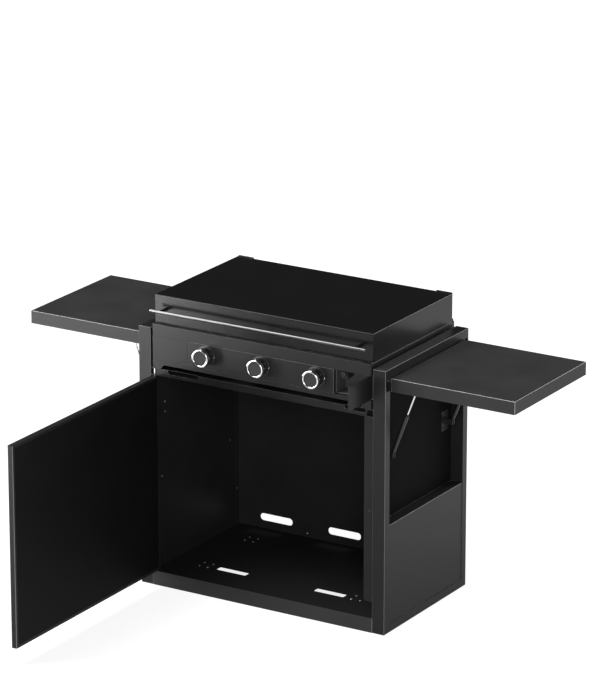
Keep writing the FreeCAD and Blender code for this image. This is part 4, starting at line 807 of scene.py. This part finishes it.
centre_low, centre_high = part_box("centre_burners")
centre_radius = (centre_high.z - centre_low.z) / 2
centre_level = (centre_high.z + centre_low.z) / 2
roll = 0.002
plain_end = 0.02
slotted_from = centre_low.y + plain_end
slotted_to = centre_high.y - plain_end
straight_length = centre_high.y - centre_low.y - 2 * roll
lengths = round(straight_length / slot_step)
length_step = straight_length / lengths
end_radius = centre_radius - roll
rolled_radius = centre_radius - roll * 0.3
short_steps = [(0, end_radius), (roll * 0.3, rolled_radius), (roll * 0.7, centre_radius)]
short_steps += [(length_step, centre_radius)] * lengths
short_steps += [(roll * 0.7, rolled_radius), (roll * 0.3, end_radius)]

short_burner = turned((0, 1, 0), (0, centre_low.y, centre_level), short_steps, sides=16)
bpy.ops.mesh.select_all(action="SELECT")
bpy.ops.mesh.normals_make_consistent(inside=False)
pick("FACE", lambda middle, normal: slot_low < normal.z < slot_high and slotted_from < middle.y < slotted_to
     and ((middle.y - centre_low.y) / length_step) % 2 < 1)
bpy.ops.mesh.inset(thickness=slot_rim, depth=-slot_depth, use_individual=True)
short_burner = close_piece(short_burner, "short_burner", tube_steel, smooth=40.0)
for number, centre in enumerate(burner_centres, 1):
    tube = copy_of(short_burner, f"centre_burner_{number}", Matrix.Translation((centre, 0.0, 0.0)))
    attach(tube, "burner_box")
    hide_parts("centre_burners")
bpy.data.objects.remove(short_burner)

# Igniters: beside each left leg a glazed white ceramic with ribs holds the spark wire, and a
# red silicone boot on an upright stub covers the cable's end.

boot_x = -0.0545
igniter_row = 0.307
boot_foot = island_level + 0.0002
ceramic_overlap = 0.0045
ceramic_level = 0.8862
ceramic_start = Vector((boot_x + ceramic_overlap, igniter_row, ceramic_level))
wire_radius = 0.0011
wire_length = 0.0016
boot_rib = [(0.0008, 0.0087), (0.0022, 0.0087), (0.0008, 0.0075), (0.0024, 0.0075)]
boot_steps = [(0, 0.0092), (0.0018, 0.0096), (0.0018, 0.0092), (0.0012, 0.0078), (0.0024, 0.0075)]
boot_steps += boot_rib + boot_rib[:2]
boot_steps += [(0.0008, 0.0078), (0.0042, 0.0078), (0.0020, 0.0068), (0.0010, 0.0046)]
ceramic_rib = [(0.0005, 0.0058), (0.0015, 0.0058), (0.0005, 0.0046), (0.0015, 0.0044)]
ceramic_steps = [(0, 0.0042), (0.005, 0.0044)] + ceramic_rib * 5
ceramic_steps += [(0.0008, 0.0063), (0.0034, 0.0063), (0.0008, 0.0046), (0.007, 0.0040),
                  (0.0035, 0.0033), (0.0012, 0.0017)]
ceramic_length = sum(advance for advance, radius in ceramic_steps)
wire_start = ceramic_start + Vector((ceramic_length, 0.0, 0.0))
wire_steps = [(0, wire_radius), (wire_length, wire_radius)]

red_silicone = moulded("red_silicone", (0.36, 0.035, 0.035), 0.35)
white_ceramic = moulded("white_ceramic", (0.72, 0.71, 0.68), 0.18, grain=500.0, relief=0.00003)
wire_steel = bare_metal("wire_steel", (0.55, 0.52, 0.48), 0.3)

boot_model = turned((0, 0, 1), (boot_x, igniter_row, boot_foot), boot_steps, sides=28)
boot_model = close_piece(boot_model, "boot_model", red_silicone, smooth=50.0)
ceramic_model = turned((1, 0, 0), ceramic_start, ceramic_steps)
ceramic_model = close_piece(ceramic_model, "ceramic_model", white_ceramic, smooth=50.0)
wire_model = turned((1, 0, 0), wire_start, wire_steps, sides=10)
wire_model = close_piece(wire_model, "wire_model", wire_steel)
for number, centre in enumerate(burner_centres, 1):
    place = Matrix.Translation((centre, 0.0, 0.0))
    boot = copy_of(boot_model, f"igniter_boot_{number}", place)
    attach(boot, "burner_box")
    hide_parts("igniter_sleeves")
    ceramic = copy_of(ceramic_model, f"igniter_ceramic_{number}", place)
    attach(ceramic, "burner_box")
    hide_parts("igniter_electrodes")
    wire = copy_of(wire_model, f"spark_wire_{number}", place)
    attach(wire, "burner_box")
for model in (boot_model, ceramic_model, wire_model):
    bpy.data.objects.remove(model)

# Gas train: a drawn aluminium pipe behind the front strip feeds three brass valves, which are
# clamped to it. The knobs are pushed onto the valves' stems.

aluminium = bare_metal("aluminium", (0.60, 0.60, 0.60), 0.35)
brass = bare_metal("brass", (0.66, 0.48, 0.20), 0.28)
dress(aluminium, "gas_pipes", edge=0.0003)
dress(brass, "gas_valves", "valve_stem_left", "valve_stem_middle", "valve_stem_right", edge=0.0004)

# Knobs: moulded black grips with shallow flutes and a finely dotted face, each in a broad
# chromed ring. They turn before a fixed black bezel with a bright dot at its right.

knob_low, knob_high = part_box("knob_middle")
ring_low, ring_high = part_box("knob_ring_middle")
bezel_low, bezel_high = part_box("knob_bezels")
forward = Vector((0, -1, 0))
knob_level = (knob_low.z + knob_high.z) / 2
knob_back = knob_high.y
knob_front = knob_low.y
ring_gap = 0.0004
shoulder = ring_high.y + ring_gap
grip_length = knob_back - shoulder
grip_radius = (knob_high.x - knob_low.x) / 2
ring_length = ring_high.y - ring_low.y
ring_outer = (ring_high.x - ring_low.x) / 2
ring_inner = 0.0253
face_gap = 0.0003
face_radius = ring_inner - face_gap
dotted_radius = 0.0222
dot_pitch = 0.0036
bezel_radius = (bezel_high.z - bezel_low.z) / 2
mark_place = (bezel_radius - 0.0028, bezel_low.y + 0.0001, 0)
pointer_place = (0, ring_high.y + 0.0028, grip_radius + 0.0008)
flutes = 24
flute_turn = 2 * math.pi / flutes


def dotted_face(name, colour, dot_colour, pitch):
    """Black plastic with a fine square grid of lighter dots on a face that looks along Y."""
    material = moulded(name, colour, 0.8)
    tree = material.node_tree
    place = add_node(tree, "TexCoord").outputs["Object"]
    in_its_cell = vector_from(tree, "FRACTION", vector_from(tree, "DIVIDE", place, (pitch, 1.0, pitch)))
    from_middle = vector_from(tree, "SUBTRACT", in_its_cell, (0.5, 0.0, 0.5))
    across = vector_from(tree, "MULTIPLY", from_middle, (1.0, 0.0, 1.0))
    dot = spread_over(tree, length_of(tree, across), 1.0, 0.0, start=0.22, end=0.36,
                      interpolation_type="SMOOTHSTEP")
    paint = painted_over(tree, dot, (*colour, 1.0), (*dot_colour, 1.0))
    tree.links.new(paint, tree.nodes["Principled BSDF"].inputs["Base Color"])
    bump = next(node for node in tree.nodes if node.type == "BUMP")
    bump.inputs["Distance"].default_value = 0.0004
    tree.links.new(dot, bump.inputs["Height"])
    return material


grip_plastic = moulded("grip_plastic", (0.008, 0.008, 0.008), 0.2, relief=0.00002)
knob_face = dotted_face("knob_face", (0.010, 0.010, 0.010), (0.045, 0.045, 0.045), dot_pitch)

knob = turned(forward, (0, knob_back, 0),
              [(0, grip_radius - 0.002), (0.0012, grip_radius - 0.0004), (0.0010, grip_radius),
               (grip_length - 0.0034, grip_radius), (0.0012, grip_radius - 0.0008), (0, face_radius),
               (shoulder - knob_front - 0.0012, face_radius), (0.0012, face_radius - 0.0010),
               (0, 0.0225), (-0.0006, 0.0218), (0.0002, 0.012)], sides=2 * flutes)
bpy.ops.mesh.select_all(action="SELECT")
bpy.ops.mesh.normals_make_consistent(inside=False)
pick("FACE", lambda middle, normal: math.hypot(middle.x, middle.z) > grip_radius - 0.0009
     and abs(normal.y) < 0.1 and knob_back - 0.018 < middle.y < knob_back - 0.004
     and math.atan2(middle.z, middle.x) % flute_turn < flute_turn / 2)
bpy.ops.mesh.inset(thickness=0.0005, depth=-0.0006, use_individual=True)
knob = close_piece(knob, "knob_model", grip_plastic)
knob.data.materials.append(knob_face)
for face in knob.data.polygons:
    if face.center.y < knob_front + 0.001 and math.hypot(face.center.x, face.center.z) < dotted_radius:
        face.material_index = 1

ring = edge_ring(Vector((0, ring_high.y, 0)), forward, ring_inner, 64)
push_out(bpy.ops.mesh.extrude_edges_move, forward, Vector((0, ring_high.y, 0)),
         [(0, ring_inner), (0, ring_outer - 0.0005), (0.0005, ring_outer),
          (ring_length - 0.0027, ring_outer), (0.0014, ring_outer - 0.0005),
          (0.0008, ring_outer - 0.0018), (0, ring_inner), (-0.0006, ring_inner - 0.0012),
          (-0.0008, ring_inner - 0.0014), (-0.0005, ring_inner), (0.0019 - ring_length, ring_inner)])
bpy.ops.mesh.select_all(action="SELECT")
bpy.ops.mesh.remove_doubles(threshold=0.00005)
ring = close_piece(ring, "ring_model", chrome, smooth=50.0)

bezel = turned(forward, (0, bezel_high.y, 0),
               [(0, bezel_radius - 0.0005), (0.0005, bezel_radius), (0.0023, bezel_radius),
                (0.0008, bezel_radius - 0.0006), (0.0004, bezel_radius - 0.0020),
                (0, grip_radius + 0.0008), (-0.0018, grip_radius + 0.0004), (0, 0.012)], sides=64)
bezel = close_piece(bezel, "bezel_model", black_plastic)
mark = turned(forward, mark_place,
              [(0, 0.0027), (0.0006, 0.0027), (0.0004, 0.0020), (0.0002, 0.0009)], sides=16)
mark = close_piece(mark, "mark_model", chrome, smooth=60.0)
pointer = turned(forward, pointer_place,
                 [(0, 0.0012), (0.0008, 0.0022), (0.0050, 0.0022), (0.0008, 0.0012)], sides=16)
pointer = close_piece(pointer, "pointer_model", chrome, smooth=60.0)

for name in ("left", "middle", "right"):
    low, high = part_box("knob_" + name)
    place = Matrix.Translation(((low.x + high.x) / 2, 0.0, knob_level))
    knob_body = f"knob_{name}_body"
    for model, label, body, slot, node in (
            (knob, "knob_grip_", knob_body, "knob_black", "knob_" + name),
            (ring, "chrome_ring_", knob_body, "ring_chrome", "knob_ring_" + name),
            (bezel, "knob_bezel_", "burner_box", "bezel_black", "knob_bezels"),
            (mark, "bezel_dot_", "burner_box", "ring_chrome", None),
            (pointer, "knob_pointer_", knob_body, "ring_chrome", None)):
        piece = copy_of(model, label + name, place)
        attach(piece, body)
        if node:
            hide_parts(node)
for model in (knob, ring, bezel, mark, pointer):
    bpy.data.objects.remove(model)

# Griddle: one thick enamelled plate with a low front lip and tall walls on the other sides.
# It is drawn in one piece, so its floor rises into the walls in a wide bend.

griddle_low, griddle_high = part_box("griddle_pan")
plate_thickness = 0.006
griddle_floor = griddle_low.z + plate_thickness
wall_margin = 0.002
floor_bend = 0.009
lip_round = 0.0011

enamel = coated_steel("enamel", (0.003, 0.003, 0.003), 0.12, gloss=0.25, skin=0.000015)


def at_griddle_floor(point):
    """On the cooking floor's outline, away from the drain hole."""
    across = griddle_low.x + wall_margin < point.x < griddle_high.x - wall_margin
    inside = across and point.y < griddle_high.y - wall_margin
    drain = math.hypot(point.x - chute_place[0], point.y - chute_place[1]) < chute_clear
    return inside and abs(point.z - griddle_floor) < level_slack and not drain


griddle = cad_copy("griddle_pan")
pick_bends(at_griddle_floor)
bpy.ops.mesh.bevel(offset=floor_bend, segments=6)
pick_bends(lambda point: point.z > griddle_high.z - top_slack)
bpy.ops.mesh.bevel(offset=lip_round, segments=3)
pick_bends(lambda point: point.y < griddle_low.y + 0.02 and point.z > griddle_low.z + 0.02, least=60.0)
bpy.ops.mesh.bevel(offset=lip_round, segments=3)
griddle = close_piece(griddle, "enamelled_griddle", enamel, smooth=32.0)
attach(griddle, "griddle")
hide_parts("griddle_pan")

# Griddle fittings: the grease guard's hook in the back wall, two short front legs and the
# clips that seat the pan's rear corners, all black zinc-plated steel.

dress(black_zinc, "griddle_hook", "griddle_legs", "griddle_clips", edge=0.0004)

# Lid: a deep folded steel cover with welded corners, with a brushed bar handle on two posts
# and two small hinges at the back.

lid_coat = coated_steel("lid_coat", (0.004, 0.004, 0.0042), 0.25, gloss=0.22)
# Painted highlight: a near-white glossy grey for the lid's broken edges.
lid_highlight_grey = coated_steel("lid_highlight_grey", (0.75, 0.75, 0.75), 0.3, gloss=0.8)
handle_steel = bare_metal("handle_steel", (0.13, 0.13, 0.13), 0.3, stretch=(0.03, 1.0, 1.0))
dress(lid_coat, "lid_shell", edge=0.0014, edge_highlight=lid_highlight_grey, plain=True)
dress(handle_steel, "lid_handle", edge=0.0005)
dress(black_zinc, "lid_hinge_bases", "lid_hinge_leaves", edge=0.0004)
